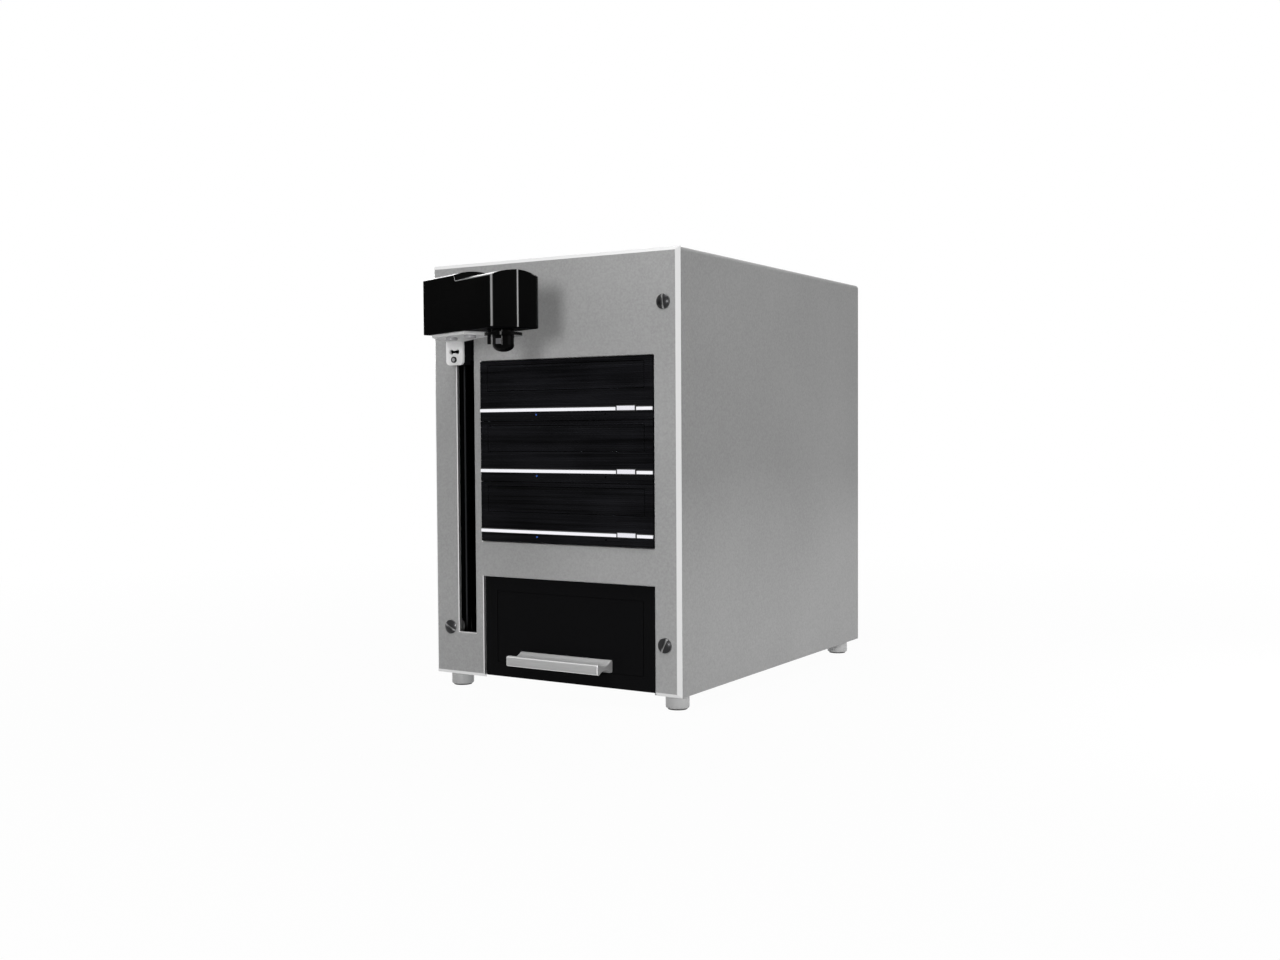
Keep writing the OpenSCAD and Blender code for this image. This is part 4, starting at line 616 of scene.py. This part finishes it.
# one where a surface is seen, mirrored or looked at through something clear, and nothing where it only lights
def whereSeen(tree):
    path = put(tree, "ShaderNodeLightPath").outputs
    seen = put(tree, "ShaderNodeMath", {"operation": "MAXIMUM"},
               {0: path["Is Camera Ray"], 1: path["Is Glossy Ray"]}).outputs[0]
    return put(tree, "ShaderNodeMath", {"operation": "MAXIMUM"},
               {0: seen, 1: path["Is Transmission Ray"]}).outputs[0]


# floor: a wide sheet that glows white where it is seen, but for a small lit share near the machine that takes
# its shadow; the light it throws back is mid grey
paper = {"wide": 30.0, "bounce": "#a8a8a8", "from": 0.3, "to": 1.1, "near": 0.97, "far": 1.0}
mesh = bpy.data.meshes.new("floor")
reach = paper["wide"] / 2
sheet = [(-reach, -reach, 0), (reach, -reach, 0), (reach, reach, 0), (-reach, reach, 0)]
mesh.from_pydata(sheet, [], [(0, 1, 2, 3)])
floor = bpy.data.objects.new("floor", mesh)
bpy.context.scene.collection.objects.link(floor)
matPaper = bpy.data.materials.new("matPaper")
matPaper.use_nodes = True
tree = matPaper.node_tree
tree.nodes.clear()
seen = whereSeen(tree)
spot = put(tree, "ShaderNodeTexCoord").outputs["Object"]
away = put(tree, "ShaderNodeVectorMath", {"operation": "LENGTH"}, {0: spot}).outputs["Value"]
fade = put(tree, "ShaderNodeMapRange", {"From Min": paper["from"], "From Max": paper["to"],
                                        "To Min": paper["near"], "To Max": paper["far"]}, {"Value": away})
share = put(tree, "ShaderNodeMath", {"operation": "MULTIPLY"}, {0: seen, 1: fade.outputs[0]})
lit = put(tree, "ShaderNodeBsdfDiffuse", {"Color": hexColour(paper["bounce"])})
glow = put(tree, "ShaderNodeEmission", {"Color": white, "Strength": 1.0})
both = put(tree, "ShaderNodeMixShader", None, {0: share.outputs[0], 1: lit.outputs[0], 2: glow.outputs[0]})
put(tree, "ShaderNodeOutputMaterial", None, {"Surface": both.outputs[0]})
mesh.materials.append(matPaper)

# world: white where it is seen, mirrored or looked at through something clear, and dim where it only lights
dimLight = 0.06
world = bpy.data.worlds.new("studio")
bpy.context.scene.world = world
world.use_nodes = True
tree = world.node_tree
tree.nodes.clear()
level = put(tree, "ShaderNodeMapRange", {"To Min": dimLight, "To Max": 1.0}, {"Value": whereSeen(tree)})
sky = put(tree, "ShaderNodeBackground", {"Color": white}, {"Strength": level.outputs[0]})
put(tree, "ShaderNodeOutputWorld", None, {"Surface": sky.outputs[0]})

# lamps: a key a little right of the front, a wide one above the front, a soft one from the right, a low one
# that brightens the floor there, and a fill from the back left
lamps = {
    "key": {"from": (0.70, -1.98, 0.36), "to": (0.0, -0.1, 0.17), "size": (0.32, 0.32), "power": 16.7},
    "topFront": {"from": (0.15, -0.5, 1.4), "to": (0.05, -0.1, 0.1), "size": (0.8, 0.8), "power": 15.4},
    "side": {"from": (2.1, 0.25, 0.35), "to": (0.1, 0.05, 0.15), "size": (1.3, 1.3), "power": 8},
    "lowRight": {"from": (0.45, 0.12, 0.16), "to": (0.449, 0.12, 0.0), "size": (0.5, 0.12), "power": 1.4},
    "backFill": {"from": (-1.4, 1.7, 0.9), "to": (0.0, 0.1, 0.15), "size": (1.2, 1.2), "power": 40},
}
for name, lamp in lamps.items():
    light = bpy.data.lights.new(name, "AREA")
    light.shape = "RECTANGLE"
    light.size, light.size_y = lamp["size"]
    light.energy = lamp["power"]
    holder = bpy.data.objects.new(name, light)
    holder.location = lamp["from"]
    holder.visible_camera = False
    away = np.array(lamp["to"]) - np.array(lamp["from"])
    tilt = math.pi / 2 + math.atan2(away[2], math.hypot(away[0], away[1]))
    holder.rotation_euler = (tilt, 0, math.atan2(away[1], away[0]) - math.pi / 2)
    bpy.context.scene.collection.objects.link(holder)
print("lit:", len(lamps), "lamps")
